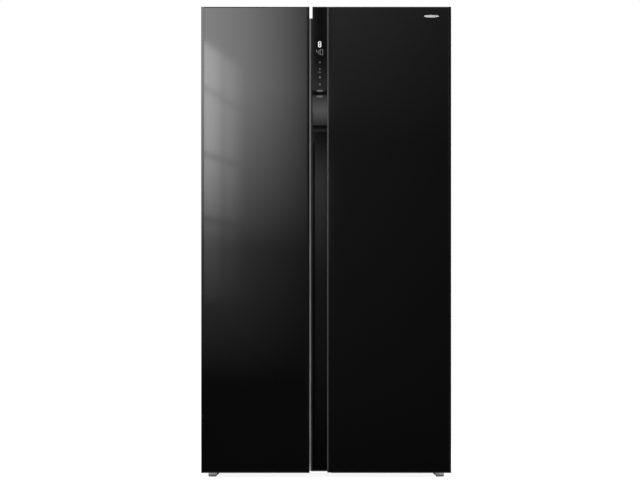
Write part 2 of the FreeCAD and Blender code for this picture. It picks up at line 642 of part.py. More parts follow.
def pipes():
    """Suction line, and the liquid line with its drier."""
    start = "compressor_x + compressor_radius"
    high, low = "base_height + 105", "base_height + 55"
    suction_x, liquid_x, liquid_y = "-150", "-110", "300"
    solids = [rod("x", (start, "machine_middle", high), "pipe", f"{suction_x} - ({start})"),
              rod("z", (suction_x, "machine_middle", high), "pipe", f"{MACHINE_TOP} - ({high})"),
              rod("x", (start, "machine_middle", low), "pipe", f"{liquid_x} - ({start})"),
              rod("y", (liquid_x, "machine_middle", low), "pipe", f"{liquid_y} - machine_middle"),
              rod("z", (liquid_x, liquid_y, low), "pipe", f"{MACHINE_TOP} - ({low})"),
              rod("z", (liquid_x, liquid_y, f"{low} + 40"), "11", "70")]
    turns = (suction_x, "machine_middle", high), (liquid_x, "machine_middle", low), (liquid_x, liquid_y, low)
    for x, y, z in turns:
        elbow = doc.addObject("Part::Sphere", "Elbow")
        solids.append(bind(elbow, Radius="pipe", Placement__Base__x=x, Placement__Base__y=y,
                           Placement__Base__z=z))
    node("refrigerant_pipes", fuse(*solids))


def rear_parts():
    """The machine space's rear cover with its air slots, and the mains inlet in it."""
    skin = (BACK_PANEL, f"{BACK_PANEL} + steel")
    through = (f"{BACK_PANEL} - 1", f"{BACK_PANEL} + steel + 1")
    sheet_metal = block((SHEET_LEFT, SHEET_RIGHT), skin, ("skirt_height + 4", MACHINE_TOP))
    slots = [block(("inlet_x - 15", "inlet_x + 15"), through, ("inlet_height - 12", "inlet_height + 12"))]
    for centre in (-285, 260):
        for number in range(9):
            up = f"base_height + 30 + {16 * number}"
            slots.append(block((f"{centre - 110}", f"{centre + 110}"), through, (up, f"{up} + 6")))
    node("rear_cover", cut(sheet_metal, *slots))
    inlet = fuse(block(("inlet_x - 14", "inlet_x + 14"), (f"{BACK_PANEL} - 18", f"{BACK_PANEL} + steel"),
                       ("inlet_height - 11", "inlet_height + 11")),
                 block(("inlet_x - 22", "inlet_x + 22"), (f"{BACK_PANEL} + steel", f"{BACK_PANEL} + steel + 3"),
                       ("inlet_height - 18", "inlet_height + 18")))
    socket = block(("inlet_x - 12", "inlet_x + 12"), (f"{BACK_PANEL} - 15", f"{BACK_PANEL} + 6"),
                   ("inlet_height - 8.5", "inlet_height + 8.5"))
    node("mains_inlet", cut(inlet, socket))


def ice_maker():
    """The ice maker: a hanging frame, the tray that twists over, and the bin below."""
    middle = f"(({FREEZER_LEFT} + {FREEZER_RIGHT}) / 2)"
    across = (f"{middle} - 62", f"{middle} + 62")
    ends = (("ice_front - 12", "ice_front - 6"), ("ice_back + 6", "ice_back + 12"))
    solids = [block(across, (ends[0][0], ends[1][1]), (f"{INNER_TOP} - 5", INNER_TOP))]
    solids += [block(across, end, ("ice_axis - 30", INNER_TOP)) for end in ends]
    bearing = rod("y", (middle, "ice_front - 20", "ice_axis"), "axle_radius + 2 + axle_clearance",
                  "ice_back - ice_front + 40")
    node("ice_maker_frame", cut(fuse(*solids), bearing))
    low, high = "(ice_axis - ice_deep / 2)", "(ice_axis + ice_deep / 2)"
    box = tray((f"{middle} - ice_half", f"{middle} + ice_half"), ("ice_front", "ice_back"), (low, high), "3")
    walls = [block((f"{middle} - 1", f"{middle} + 1"), ("ice_front + 1", "ice_back - 1"),
                   (f"{low} + 1", f"{low} + 18"))]
    for number in range(1, 6):
        row = f"ice_front + (ice_back - ice_front) * {number} / 6"
        walls.append(block((f"{middle} - ice_half + 1", f"{middle} + ice_half - 1"), (f"{row} - 1", f"{row} + 1"),
                           (f"{low} + 1", f"{low} + 18")))
    axle = "axle_radius + 2"
    front_axle = rod("y", (middle, "ice_front - 14", "ice_axis"), axle, "14")
    rear_axle = rod("y", (middle, "ice_back", "ice_axis"), axle, "11")
    knob = rod("y", (middle, "ice_front - 25", "ice_axis"), "15", "12.5")
    node("ice_tray", fuse(box, *walls, front_axle, rear_axle, knob))
    top_shelf = "(upper_shelf + 3 * shelf_pitch + shelf_glass)"
    node("ice_bin", tray((f"{middle} - 80", f"{middle} + 80"), ("ice_front", "ice_back + 90"),
                         (top_shelf, f"{top_shelf} + 130"), "2.5"))


# ---- Doors ---------------------------------------------------------------------------------------

DOORS = {"freezer": ("left", "freezer_door_width"),
         "fridge": ("right", "(overall_width - freezer_door_width - door_gap)")}
HANDLE_BACK = f"({GRIP_FLOOR} + strip_wall)"


def handle_space(low):
    """The room that the handle strip takes from the fridge door, from a height upwards."""
    return [block((f"{FRIDGE_EDGE} - 1", f"{CHANNEL_RIGHT} + strip_wall"), (f"{FRONT} - 1", HANDLE_BACK),
                  (low, "panel_bottom")),
            block((f"{FRIDGE_EDGE} - 1", f"{TRIM_LEFT} + strip_wall"), (f"{FRONT} - 1", HANDLE_BACK),
                  (low, "door_top + 1")),
            block((f"{FRIDGE_EDGE} - 1", TRIM_LEFT), (f"{FRONT} - 1", f"{DOOR_BACK} + 1"),
                  (low, "strip_bottom"))]


def hinge_room(side):
    """The notches for both hinge arms."""
    across = inward(side, "-1", "notch_in")
    deep = (f"{FRONT} + notch_front", f"{DOOR_BACK} + 1")
    return [block(across, deep, ("upper_arm - arm_room", "door_top + 1")),
            block(across, deep, ("door_bottom - 1", "lower_arm + hinge_plate + 6"))]


def door(name):
    """One door: glass, edge profiles, end caps, foam, liner, gasket and bins."""
    side, width = DOORS[name]
    is_fridge = name == "fridge"
    free_face = "(strip_width + edge_trim)" if is_fridge else "(profile_face - 1)"
    whole = inward(side, "profile_web", f"{width} - profile_web")
    pane = inward(side, "profile_face", f"{width} - {free_face}")
    strip = handle_space("door_bottom - 1") if is_fridge else []
    middle = ("door_bottom + cap_height", "door_top - top_cap_height")

    node(f"{name}_door_glass", block(pane, (FRONT, GLASS_BACK), ("door_bottom + cap_lip", "door_top - cap_lip")))

    edges = [edge_profile(side, "0", "profile_face")]
    if is_fridge:
        edges.append(block(inward(side, f"{width} - profile_web", width), (HANDLE_BACK, DOOR_BACK),
                           ("strip_bottom", "door_top")))
    else:
        edges.append(edge_profile(side, width, f"({width} - profile_face + 1)"))
    node(f"{name}_door_profiles", cut(fuse(*edges), *hinge_room(side)))

    caps = [block(whole, (GLASS_BACK, DOOR_BACK), ("door_bottom", middle[0])),
            block(whole, (GLASS_BACK, DOOR_BACK), (middle[1], "door_top")),
            block(pane, (FRONT, f"{GLASS_BACK} + 1"), ("door_bottom", "door_bottom + cap_lip")),
            block(pane, (FRONT, f"{GLASS_BACK} + 1"), ("door_top - cap_lip", "door_top"))]
    bearings = rod("z", (inside(side, "pivot_in"), PIVOT_Y, "door_bottom - 1"), "pin_radius + pin_clearance",
                   "door_top - door_bottom + 2")
    behind_trim = (edge_profile(side, "0", "profile_face"),
                   edge_profile(side, width, f"({width} - profile_face + 1)"))
    taken = list(behind_trim[:1] if is_fridge else behind_trim)
    if is_fridge:
        taken.append(trim_solid())
    node(f"{name}_door_caps", cut(fuse(*caps), bearings, *hinge_room(side), *strip, *taken))

    core = block(whole, (GLASS_BACK, f"{DOOR_BACK} - liner_sheet"), middle)
    node(f"{name}_door_foam", cut(core, *strip, *([trim_solid()] if is_fridge else [])))

    low, high = COMPARTMENTS[name]
    panel = block(whole, (f"{DOOR_BACK} - liner_sheet", DOOR_BACK), middle)
    outer = block((f"{low} + ridge_gap", f"{high} - ridge_gap"),
                  (f"{DOOR_BACK} - 1", f"{DOOR_BACK} + ridge_depth"),
                  ("inner_floor + ridge_gap", f"{INNER_TOP} - ridge_gap"))
    thick = "ridge_gap + ridge_width"
    inner = block((f"{low} + {thick}", f"{high} - {thick}"), (DOOR_BACK, f"{DOOR_BACK} + ridge_depth + 1"),
                  (f"inner_floor + {thick}", f"{INNER_TOP} - ({thick})"))
    node(f"{name}_door_liner", fuse(panel, cut(outer, inner)))

    seal = (DOOR_BACK, f"{DOOR_BACK} + gasket_gap - gasket_clearance")
    ring = block(inward(side, "gasket_inset", f"{width} - gasket_margin"), seal, ("gasket_bottom", "gasket_top"))
    hollow = block(inward(side, "gasket_inset + gasket_width", f"{width} - gasket_margin - gasket_width"),
                   (f"{seal[0]} - 1", f"{seal[1]} + 1"),
                   ("gasket_bottom + gasket_width", "gasket_top - gasket_width"))
    node(f"{name}_door_gasket", cut(ring, hollow))

    across = (f"{low} + {thick} + 1", f"{high} - ({thick}) - 1")
    groups = {"lower": (0, 1), "upper": (2, 3, 4)}
    for group, numbers in groups.items():
        trays = [tray(across, (f"{DOOR_BACK} + 1", BIN_BACK),
                      (f"bin_first + {number} * bin_pitch", f"bin_first + {number} * bin_pitch + bin_height"),
                      "bin_wall")
                 for number in numbers]
        node(f"{name}_door_bins_{group}", fuse(*trays))


def edge_profile(side, outer, face):
    """An angle profile: a web along the door's side and a lip beside the glass."""
    outwards = outer == "0"
    web = (outer, "profile_web") if outwards else (f"{outer} - profile_web", outer)
    lip = (outer, face) if outwards else (face, outer)
    height = ("door_bottom", "door_top")
    joined = fuse(block(inward(side, *web), (FRONT, DOOR_BACK), height),
                  block(inward(side, *lip), (FRONT, GLASS_BACK), height))
    doc.recompute()
    corner = joined.Shape.BoundBox.XMin if (side == "left") == outwards else joined.Shape.BoundBox.XMax
    front = joined.Shape.BoundBox.YMin
    return rounded(joined, size("profile_round"),
                   lambda edge: runs_along(edge, "z") and at(edge, x=corner, y=front))


def trim_solid():
    """The metal angle along the fridge glass, over the whole height of the strip."""
    height = ("strip_bottom", "door_top")
    return fuse(block((TRIM_LEFT, f"{TRIM_LEFT} + edge_trim"), (FRONT, f"{GLASS_BACK} + 4"), height),
                block((f"{TRIM_LEFT} + 1", CHANNEL_RIGHT), (GLASS_BACK, f"{GLASS_BACK} + 4"), height))


def handle():
    """The black strip: the control panel with its ramp, the grip channel below, and the metal trim."""
    body = new_body("handle_channel")
    wall = "strip_wall"
    channel = outline(new_sketch(body, "XY", "strip_bottom"), [
        (FRIDGE_EDGE, f"{FRONT} + grip_lip"), (f"{FRIDGE_EDGE} + {wall}", f"{FRONT} + grip_lip"),
        (f"{FRIDGE_EDGE} + {wall}", f"{GRIP_FLOOR} - 5"), (f"{FRIDGE_EDGE} + {wall} + 6", GRIP_FLOOR),
        (CHANNEL_RIGHT, GRIP_FLOOR), (CHANNEL_RIGHT, f"{GLASS_BACK} + 4"),
        (f"{CHANNEL_RIGHT} + {wall}", f"{GLASS_BACK} + 4"), (f"{CHANNEL_RIGHT} + {wall}", HANDLE_BACK),
        (FRIDGE_EDGE, HANDLE_BACK)])
    extrude(body, channel, "panel_bottom - strip_bottom")
    floor = outline(new_sketch(body, "XY", "strip_bottom"), [
        (FRIDGE_EDGE, f"{FRONT} + grip_lip"), (TRIM_LEFT, f"{FRONT} + grip_lip"),
        (CHANNEL_RIGHT, f"{FRONT} + grip_lip"),
        (CHANNEL_RIGHT, HANDLE_BACK), (FRIDGE_EDGE, HANDLE_BACK)])
    extrude(body, floor, wall)
    node("handle_channel", body)

    panel = new_body("control_panel")
    depth = f"({FRONT} + ramp_depth)"
    side_view = outline(new_sketch(panel, "YZ", FRIDGE_EDGE), [
        (FRONT, "door_top"), (FRONT, "ramp_top"), (depth, "ramp_bottom"), (depth, "panel_bottom"),
        (HANDLE_BACK, "panel_bottom"), (HANDLE_BACK, "door_top")])
    extrude(panel, side_view, "strip_width")
    bends = (size("ramp_top"), size("ramp_bottom"))
    soften(panel, "Fillet", "ramp_radius", lambda edge: runs_along(edge, "x") and (
        any(abs(edge.BoundBox.Center.z - bend) < 0.01 for bend in bends) and edge.BoundBox.YMax < size("door_top")
        and edge.BoundBox.YMin < -size("overall_depth") / 2 + size("ramp_depth") + 1))
    doc.recompute()
    wall_low = f"({FRONT} + grip_lip)"
    for low, high, front, top in ((FRIDGE_EDGE, f"({FRIDGE_EDGE} + {wall})", wall_low, "ramp_bottom + 33"),
                                  (TRIM_LEFT, f"({TRIM_LEFT} + {wall})", f"({GLASS_BACK} + 4)", "door_top")):
        web = outline(new_sketch(panel, "YZ", low), [
            (front, "panel_bottom"), (HANDLE_BACK, "panel_bottom"), (HANDLE_BACK, top), (front, top)])
        extrude(panel, web, f"{high} - {low}")
    node("control_panel", panel)
    node("edge_trim", trim_solid())


# ---- Drawers, rollers and legs -------------------------------------------------------------------


def drawer(name, level, bottom, top, back):
    """An open drawer with a grip notch in its front."""
    low, high = COMPARTMENTS[name]
    across = (f"{low} + drawer_gap", f"{high} - drawer_gap")
    box = tray(across, ("drawer_front", back), (bottom, top), "drawer_wall")
    middle = f"(({low} + {high}) / 2)"
    grip = block((f"{middle} - 60", f"{middle} + 60"), ("drawer_front - 1", "drawer_front + drawer_wall + 1"),
                 (f"{top} - 22", f"{top} + 1"))
    node(f"{name}_drawer_{level}", cut(box, grip))


def rollers_and_legs():
    """Rear rollers with their axles, and the front levelling legs."""
    for side in SIDES:
        axle_y = f"({REAR} - roller_back)"
        wheel = fuse(
            rod("x", (inward(side, "rear_roller_in - roller_width / 2", "rear_roller_in + roller_width / 2")[0],
                      axle_y, "roller_radius"), "roller_radius", "roller_width"),
            rod("x", (inward(side, "rear_roller_in - 14", "rear_roller_in + 14")[0], axle_y, "roller_radius"),
                "axle_radius", "28"))
        node(f"rear_roller_{side}", wheel)
        leg = turned_part(f"levelling_leg_{side}", "XZ", "V_Axis", [
            ("0", "0"), ("leg_radius - 2", "0"), ("leg_radius", "2"), ("leg_radius", "foot_height - 3"),
            ("stud_radius + 3", "foot_height"), ("stud_radius", "foot_height"), ("stud_radius", "base_height - 1"),
            ("0", "base_height - 1")])
        place(leg, inside(side, "leg_in"), f"{FRONT} + leg_back", "0")


# ---- The whole appliance -------------------------------------------------------------------------

SHELF_HEIGHTS = ["lower_shelf"] + [f"(upper_shelf + {number} * shelf_pitch)" for number in range(4)]
HUB = size("hub_radius")

outer_shell()
base_pan()
liner("freezer", SHELF_HEIGHTS, "freezer_depth")
liner("fridge", SHELF_HEIGHTS, "fridge_depth")
insulation()
mullion()
back_panel()
base_frame()
hinges()
shelves("freezer", SHELF_HEIGHTS, "freezer_depth")
shelves("fridge", SHELF_HEIGHTS, "fridge_depth")
lamps()
cold_parts()
machine_space()
rear_parts()
ice_maker()
door("freezer")
door("fridge")
handle()
for compartment_name, full_depth in (("freezer", "freezer_depth"), ("fridge", "fridge_depth")):
    drawer(compartment_name, "lower", "(inner_floor + 0.5)", "(lower_shelf - 10)", "lower_depth")
    drawer(compartment_name, "upper", "(lower_shelf + shelf_glass + 0.5)", "(upper_shelf - 10)", full_depth)
rollers_and_legs()
doc.recompute()

failed = [thing.Name for thing in doc.Objects if {"Invalid", "Error"} & set(thing.State)]
if failed:
    raise RuntimeError(f"failed objects: {failed}")
for label, piece in pieces.items():
    if piece.Shape.isNull() or not piece.Shape.isValid():
        raise RuntimeError(f"{label}: the shape is not valid")
os.makedirs("parts", exist_ok=True)
for label, piece in pieces.items():
    piece.Shape.exportStep(f"parts/{label}.step")
whole = Part.makeCompound([piece.Shape for piece in pieces.values()])
print(len(pieces), "sub-parts", whole.BoundBox)
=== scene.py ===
import bmesh
import bpy
import json
import math
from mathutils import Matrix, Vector

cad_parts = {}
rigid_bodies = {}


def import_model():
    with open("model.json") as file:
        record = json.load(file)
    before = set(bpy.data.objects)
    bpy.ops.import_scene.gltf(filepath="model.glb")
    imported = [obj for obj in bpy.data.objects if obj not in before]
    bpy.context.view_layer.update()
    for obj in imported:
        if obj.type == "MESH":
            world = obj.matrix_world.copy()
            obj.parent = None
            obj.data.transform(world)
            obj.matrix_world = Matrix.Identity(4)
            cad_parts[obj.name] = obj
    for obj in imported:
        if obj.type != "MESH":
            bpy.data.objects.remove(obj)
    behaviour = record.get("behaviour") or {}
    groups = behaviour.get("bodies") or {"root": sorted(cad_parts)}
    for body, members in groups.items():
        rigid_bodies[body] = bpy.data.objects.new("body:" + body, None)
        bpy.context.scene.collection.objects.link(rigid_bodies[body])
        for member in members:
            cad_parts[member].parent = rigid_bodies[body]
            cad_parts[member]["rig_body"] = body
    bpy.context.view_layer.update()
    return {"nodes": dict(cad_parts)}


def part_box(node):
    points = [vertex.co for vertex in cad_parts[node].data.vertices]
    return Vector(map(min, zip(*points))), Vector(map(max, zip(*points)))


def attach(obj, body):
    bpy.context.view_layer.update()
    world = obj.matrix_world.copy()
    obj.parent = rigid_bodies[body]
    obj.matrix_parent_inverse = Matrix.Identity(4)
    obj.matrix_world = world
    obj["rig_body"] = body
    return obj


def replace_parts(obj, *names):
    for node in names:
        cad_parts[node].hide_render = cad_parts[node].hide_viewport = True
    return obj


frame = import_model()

# Side by side refrigerator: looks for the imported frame. Metres, +Z up, the doors face -Y.

MM = 0.001
scene = bpy.context.scene
NODES = frame["nodes"]


# ---- Places read from the frame ------------------------------------------------------------------


def low(node):
    """The lowest corner of a node."""
    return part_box(node)[0]


def high(node):
    """The highest corner of a node."""
    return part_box(node)[1]


FRONT = low("freezer_door_glass").y
FREEZER = "freezer"
FRIDGE = "fridge"
DOOR_OF = {FREEZER: "freezer_door", FRIDGE: "fridge_door"}


# ---- Camera, floor and light ---------------------------------------------------------------------

VIEW_DISTANCE = 30.0
VIEW_WIDTH = 2.368
VIEW_CENTRE = (-0.0229, 0.878)
CARD_DISTANCE = 7.4
MIRROR = 1 + CARD_DISTANCE / VIEW_DISTANCE


def stage_plane(name, corners, material):
    """A flat card of the stage from its corners."""
    mesh = bpy.data.meshes.new(name)
    mesh.from_pydata(corners, [], [tuple(range(len(corners)))])
    mesh.materials.append(material)
    thing = bpy.data.objects.new(name, mesh)
    scene.collection.objects.link(thing)
    return thing


def only_reflected(thing):
    """A card that shows only in reflections."""
    thing.visible_camera = False
    thing.visible_diffuse = False
    thing.visible_shadow = False
    thing.visible_transmission = False
    thing.visible_volume_scatter = False


def make_camera():
    """A long lens straight in front of the doors."""
    data = bpy.data.cameras.new("Camera")
    data.lens = data.sensor_width * VIEW_DISTANCE / VIEW_WIDTH
    camera = bpy.data.objects.new("Camera", data)
    scene.collection.objects.link(camera)
    camera.location = (VIEW_CENTRE[0], FRONT - VIEW_DISTANCE, VIEW_CENTRE[1])
    camera.rotation_euler = (math.radians(90), 0, 0)
    data.clip_end = 100
    scene.camera = camera


def ramp(tree, source, start, end, stops):
    """A grey ramp over a value. Each stop is a place between start and end, and a brightness."""
    spread = tree.nodes.new("ShaderNodeMapRange")
    spread.inputs["From Min"].default_value = start
    spread.inputs["From Max"].default_value = end
    tree.links.new(source, spread.inputs["Value"])
    node = tree.nodes.new("ShaderNodeValToRGB")
    tree.links.new(spread.outputs["Result"], node.inputs["Fac"])
    elements = node.color_ramp.elements
    shares = sorted(((place - start) / (end - start), level) for place, level in stops)
    for element, (share, level) in ((elements[0], shares[0]), (elements[1], shares[-1])):
        element.position = share
        element.color = (level, level, level, 1)
    for share, level in shares[1:-1]:
        elements.new(share).color = (level, level, level, 1)
    return node.outputs["Color"]


def product(tree, first, second):
    """The product of two values."""
    node = tree.nodes.new("ShaderNodeMath")
    node.operation = "MULTIPLY"
    for socket, value in zip(node.inputs, (first, second)):
        if isinstance(value, (int, float)):
            socket.default_value = value
        else:
            tree.links.new(value, socket)
    return node.outputs["Value"]


def mirrored(place, centre):
    """Where a place on the doors is seen on the card behind the camera."""
    return centre + (place - centre) * MIRROR


def card_material(name, strength, across, upward, over=False):
    """Light that varies across and up the card. Its stops are places on the doors.

    A card that lies over another one adds its light to it.
    """
    material = bpy.data.materials.new(name)
    material.use_nodes = True
    tree = material.node_tree
    tree.nodes.clear()
    place = tree.nodes.new("ShaderNodeSeparateXYZ")
    tree.links.new(tree.nodes.new("ShaderNodeTexCoord").outputs["Object"], place.inputs[0])
    factors = []
    for axis, stops, centre in (("X", across, VIEW_CENTRE[0]), ("Z", upward, VIEW_CENTRE[1])):
        moved = [(mirrored(where, centre), level) for where, level in stops]
        start, end = min(moved)[0], max(moved)[0]
        factors.append(ramp(tree, place.outputs[axis], start, end, moved))
    light = tree.nodes.new("ShaderNodeEmission")
    level = product(tree, product(tree, factors[0], factors[1]), strength)
    tree.links.new(level, light.inputs["Strength"])
    shown = light.outputs[0]
    if over:
        both = tree.nodes.new("ShaderNodeAddShader")
        tree.links.new(shown, both.inputs[0])
        tree.links.new(tree.nodes.new("ShaderNodeBsdfTransparent").outputs[0], both.inputs[1])
        shown = both.outputs[0]
    output = tree.nodes.new("ShaderNodeOutputMaterial")
    tree.links.new(shown, output.inputs["Surface"])
    return material


def card(name, span, height, material, ahead=0.0):
    """A card behind the camera that the doors mirror. Its span and height are places on the doors.

    The height at each end is a pair of levels, so a card may lean.
    """
    y = FRONT - CARD_DISTANCE + ahead
    (left_low, left_high), (right_low, right_high) = height
    corners = [(span[0], left_low), (span[1], right_low), (span[1], right_high), (span[0], left_high)]
    points = [(mirrored(x, VIEW_CENTRE[0]), y, mirrored(z, VIEW_CENTRE[1])) for x, z in corners]
    only_reflected(stage_plane(name, points, material))


GLASS_SHINE = 0.04
GAP_X = -0.0565
RIGHT_GLASS_X = 0.006
LEFT_SHINE = 0.20 / GLASS_SHINE
STRIP_SHINE = 0.06 / GLASS_SHINE
RIGHT_SHINE = 0.017 / GLASS_SHINE
ROOM_SHINE = 2.2


def reflections():
    """Soft lights that the doors mirror: a wide one at the left, and dim ones at the strip and the right."""
    full = ((-0.3, 2.1), (-0.3, 2.1))
    fading = [(-6.0, 1.1), (-0.46, 1.1), (-0.30, 0.8), (-0.06, 0.2)]
    rising = [(0.35, 0.0), (0.85, 0.13), (1.45, 1.0)]
    card("left_light", (-6.0, GAP_X), full, card_material("left_glow", LEFT_SHINE, fading, rising))
    even = [(GAP_X, 1.0), (RIGHT_GLASS_X, 1.0)]
    bands = [(-0.30, 0.7), (0.0, 0.0), (0.75, 0.12), (1.10, 0.46), (1.27, 0.02), (1.40, 0.45), (1.55, 0.0)]
    card("strip_light", (GAP_X, RIGHT_GLASS_X), full, card_material("strip_glow", STRIP_SHINE, even, bands))
    fading = [(RIGHT_GLASS_X, 1.0), (0.4525, 0.42)]
    rising = [(0.0, 0.0), (1.25, 0.28), (1.74, 1.0)]
    card("right_light", (RIGHT_GLASS_X, 0.60), full, card_material("right_glow", RIGHT_SHINE, fading, rising))
    window()


def window():
    """The panes of a soft window, leaning a little in the left door."""
    fading = [(-0.4625, 1.0), (-0.40, 0.6), (-0.30, 0.0)]
    rising = [(0.60, 0.0), (0.90, 0.22), (1.20, 0.95)]
    light = card_material("window_glow", LEFT_SHINE, fading, rising, over=True)
    bars = [(1.626, 1.514), (1.448, 1.352), (1.200, 1.150), (0.960, 0.925), (0.640, 0.625)]
    columns = [(-0.4625, -0.388), (-0.378, -0.305)]
    bar = 0.016
    width = columns[-1][1] - columns[0][0]

    def level(line, x):
        share = (x - columns[0][0]) / width
        return line[0] + (line[1] - line[0]) * share

    for row, (top, bottom) in enumerate(zip(bars, bars[1:])):
        for column, span in enumerate(columns):
            height = [(level(bottom, x) + bar / 2, level(top, x) - bar / 2) for x in span]
            card(f"window_{row}_{column}", span, height, light, ahead=0.01)


def make_world():
    """White for the eye, soft for matt surfaces, and a dim room for glossy ones, paler towards the floor."""
    world = bpy.data.worlds.new("Room")
    scene.world = world
    world.use_nodes = True
    tree = world.node_tree
    tree.nodes.clear()
    path = tree.nodes.new("ShaderNodeLightPath")
    place = tree.nodes.new("ShaderNodeSeparateXYZ")
    tree.links.new(tree.nodes.new("ShaderNodeTexCoord").outputs["Generated"], place.inputs[0])
    room = ramp(tree, place.outputs["Z"], -1, 1,
                [(-1, 0.1), (-0.80, 1.0), (-0.12, 0.10), (0.0, 0.035), (0.35, 0.06), (1, 0.8)])
    backgrounds = []
    for colour, strength in (((0.98, 0.99, 1.0, 1), 0.85), ((1, 1, 1, 1), 1.0), ((1, 1, 1, 1), ROOM_SHINE)):
        background = tree.nodes.new("ShaderNodeBackground")
        background.inputs["Color"].default_value = colour
        background.inputs["Strength"].default_value = strength
        backgrounds.append(background)
    soft, white, dim = backgrounds
    tree.links.new(product(tree, room, ROOM_SHINE), dim.inputs["Strength"])
    mixed = soft.outputs[0]
    for chosen, flag in ((dim, "Is Glossy Ray"), (soft, "Is Transmission Ray"), (white, "Is Camera Ray")):
        mix = tree.nodes.new("ShaderNodeMixShader")
        tree.links.new(path.outputs[flag], mix.inputs[0])
        tree.links.new(mixed, mix.inputs[1])
        tree.links.new(chosen.outputs[0], mix.inputs[2])
        mixed = mix.outputs[0]
    output = tree.nodes.new("ShaderNodeOutputWorld")
    tree.links.new(mixed, output.inputs["Surface"])


def make_floor():
    """A pale floor that keeps a faint shadow."""
    material = bpy.data.materials.new("pale_floor")
    material.use_nodes = True
    tree = material.node_tree
    tree.nodes.clear()
    glow = tree.nodes.new("ShaderNodeEmission")
    glow.inputs["Strength"].default_value = 0.9
    matt = tree.nodes.new("ShaderNodeBsdfDiffuse")
    matt.inputs["Color"].default_value = (0.16, 0.16, 0.16, 1)
    both = tree.nodes.new("ShaderNodeAddShader")
    tree.links.new(glow.outputs[0], both.inputs[0])
    tree.links.new(matt.outputs[0], both.inputs[1])
    output = tree.nodes.new("ShaderNodeOutputMaterial")
    tree.links.new(both.outputs[0], output.inputs["Surface"])
    reach = 30
    corners = [(-reach, -reach, 0), (reach, -reach, 0), (reach, reach, 0), (-reach, reach, 0)]
    floor = stage_plane("floor", corners, material)
    floor.visible_glossy = False
    floor.visible_diffuse = False


LAMP_AIM = Vector((0, 0, 0.9))
INSIDE_AIM = Vector((0, 1, -0.6))
INSIDE_POWER = 0.24


def area_lamp(name, place, size, power, direction):
    """A square lamp that lights things and isn't seen itself."""
    data = bpy.data.lights.new(name, "AREA")
    data.size = size
    data.energy = power
    lamp = bpy.data.objects.new(name, data)
    scene.collection.objects.link(lamp)
    lamp.location = place
    lamp.rotation_euler = direction.to_track_quat("-Z", "Y").to_euler()
    lamp.visible_glossy = False
    lamp.visible_camera = False


def make_lights():
    """Large soft lamps in front, at the sides and behind, and a small one in front of each shelf group."""
    lamps = [("front_left", (-3.0, -4.0, 3.0), 2.5, 120), ("front_right", (3.2, -3.6, 2.6), 2.5, 90),
             ("behind_left", (-3.0, 3.6, 2.8), 2.5, 110), ("behind_right", (3.0, 3.6, 2.2), 2.5, 90),
             ("above", (0, 0.2, 4.2), 3.0, 70), ("ahead", (-0.02, -7.3, 0.95), 0.5, 110)]
    for name, place, size, power in lamps:
        area_lamp(name, place, size, power, LAMP_AIM - Vector(place))
    heights = [(-0.27, 1.64, INSIDE_POWER / 3), (-0.21, 1.0, INSIDE_POWER), (-0.21, 0.5, INSIDE_POWER)]
    for side, x in ((FREEZER, -0.253), (FRIDGE, 0.195)):
        for number, (y, z, power) in enumerate(heights):
            area_lamp(f"{side}_lamp_{number}", (x, y, z), 0.16, power, INSIDE_AIM)


# ---- Finishes ------------------------------------------------------------------------------------


def surface(name, colour, roughness, metallic=0.0):
    """A material with its shader, and the place on the piece as a vector."""
    material = bpy.data.materials.new(name)
    material.use_nodes = True
    tree = material.node_tree
    shader = tree.nodes["Principled BSDF"]
    shader.inputs["Base Color"].default_value = (*colour, 1)
    shader.inputs["Roughness"].default_value = roughness
    shader.inputs["Metallic"].default_value = metallic
    place = tree.nodes.new("ShaderNodeTexCoord").outputs["Object"]
    return material, tree, shader, place


def noise(tree, place, scale, stretch=(1, 1, 1), detail=2.0):
    """Noise over the piece, stretched along the axes."""
    mapping = tree.nodes.new("ShaderNodeMapping")
    mapping.inputs["Scale"].default_value = stretch
    tree.links.new(place, mapping.inputs["Vector"])
    texture = tree.nodes.new("ShaderNodeTexNoise")
    texture.inputs["Scale"].default_value = scale
    texture.inputs["Detail"].default_value = detail
    tree.links.new(mapping.outputs[0], texture.inputs["Vector"])
    return texture.outputs["Fac"]


def tinted(tree, shader, value, dark, light):
    """The shader's colour runs from dark to light with a value."""
    mix = tree.nodes.new("ShaderNodeMix")
    mix.data_type = "RGBA"
    tree.links.new(value, mix.inputs["Factor"])
    mix.inputs[6].default_value = (*dark, 1)
    mix.inputs[7].default_value = (*light, 1)
    tree.links.new(mix.outputs[2], shader.inputs["Base Color"])


def roughened(tree, shader, value, smooth, rough):
    """The shader's roughness runs from smooth to rough with a value."""
    spread = tree.nodes.new("ShaderNodeMapRange")
    spread.inputs["To Min"].default_value = smooth
    spread.inputs["To Max"].default_value = rough
    tree.links.new(value, spread.inputs["Value"])
    tree.links.new(spread.outputs["Result"], shader.inputs["Roughness"])


def bumped(tree, shader, value, strength, distance):
    """Relief from a value."""
    bump = tree.nodes.new("ShaderNodeBump")
    bump.inputs["Strength"].default_value = strength
    bump.inputs["Distance"].default_value = distance
    tree.links.new(value, bump.inputs["Height"])
    tree.links.new(bump.outputs[0], shader.inputs["Normal"])


def moulded(name, colour, roughness, grain=0.15, grain_scale=900.0):
    """Moulded plastic with a fine grain and slightly uneven gloss."""
    material, tree, shader, place = surface(name, colour, roughness)
    broad = noise(tree, place, 6.0)
    fine = noise(tree, place, grain_scale)
    tinted(tree, shader, broad, [0.93 * part for part in colour], [min(1.0, 1.05 * part) for part in colour])
    roughened(tree, shader, broad, roughness * 0.9, min(1.0, roughness * 1.12))
    bumped(tree, shader, fine, grain, 0.0002)
    return material


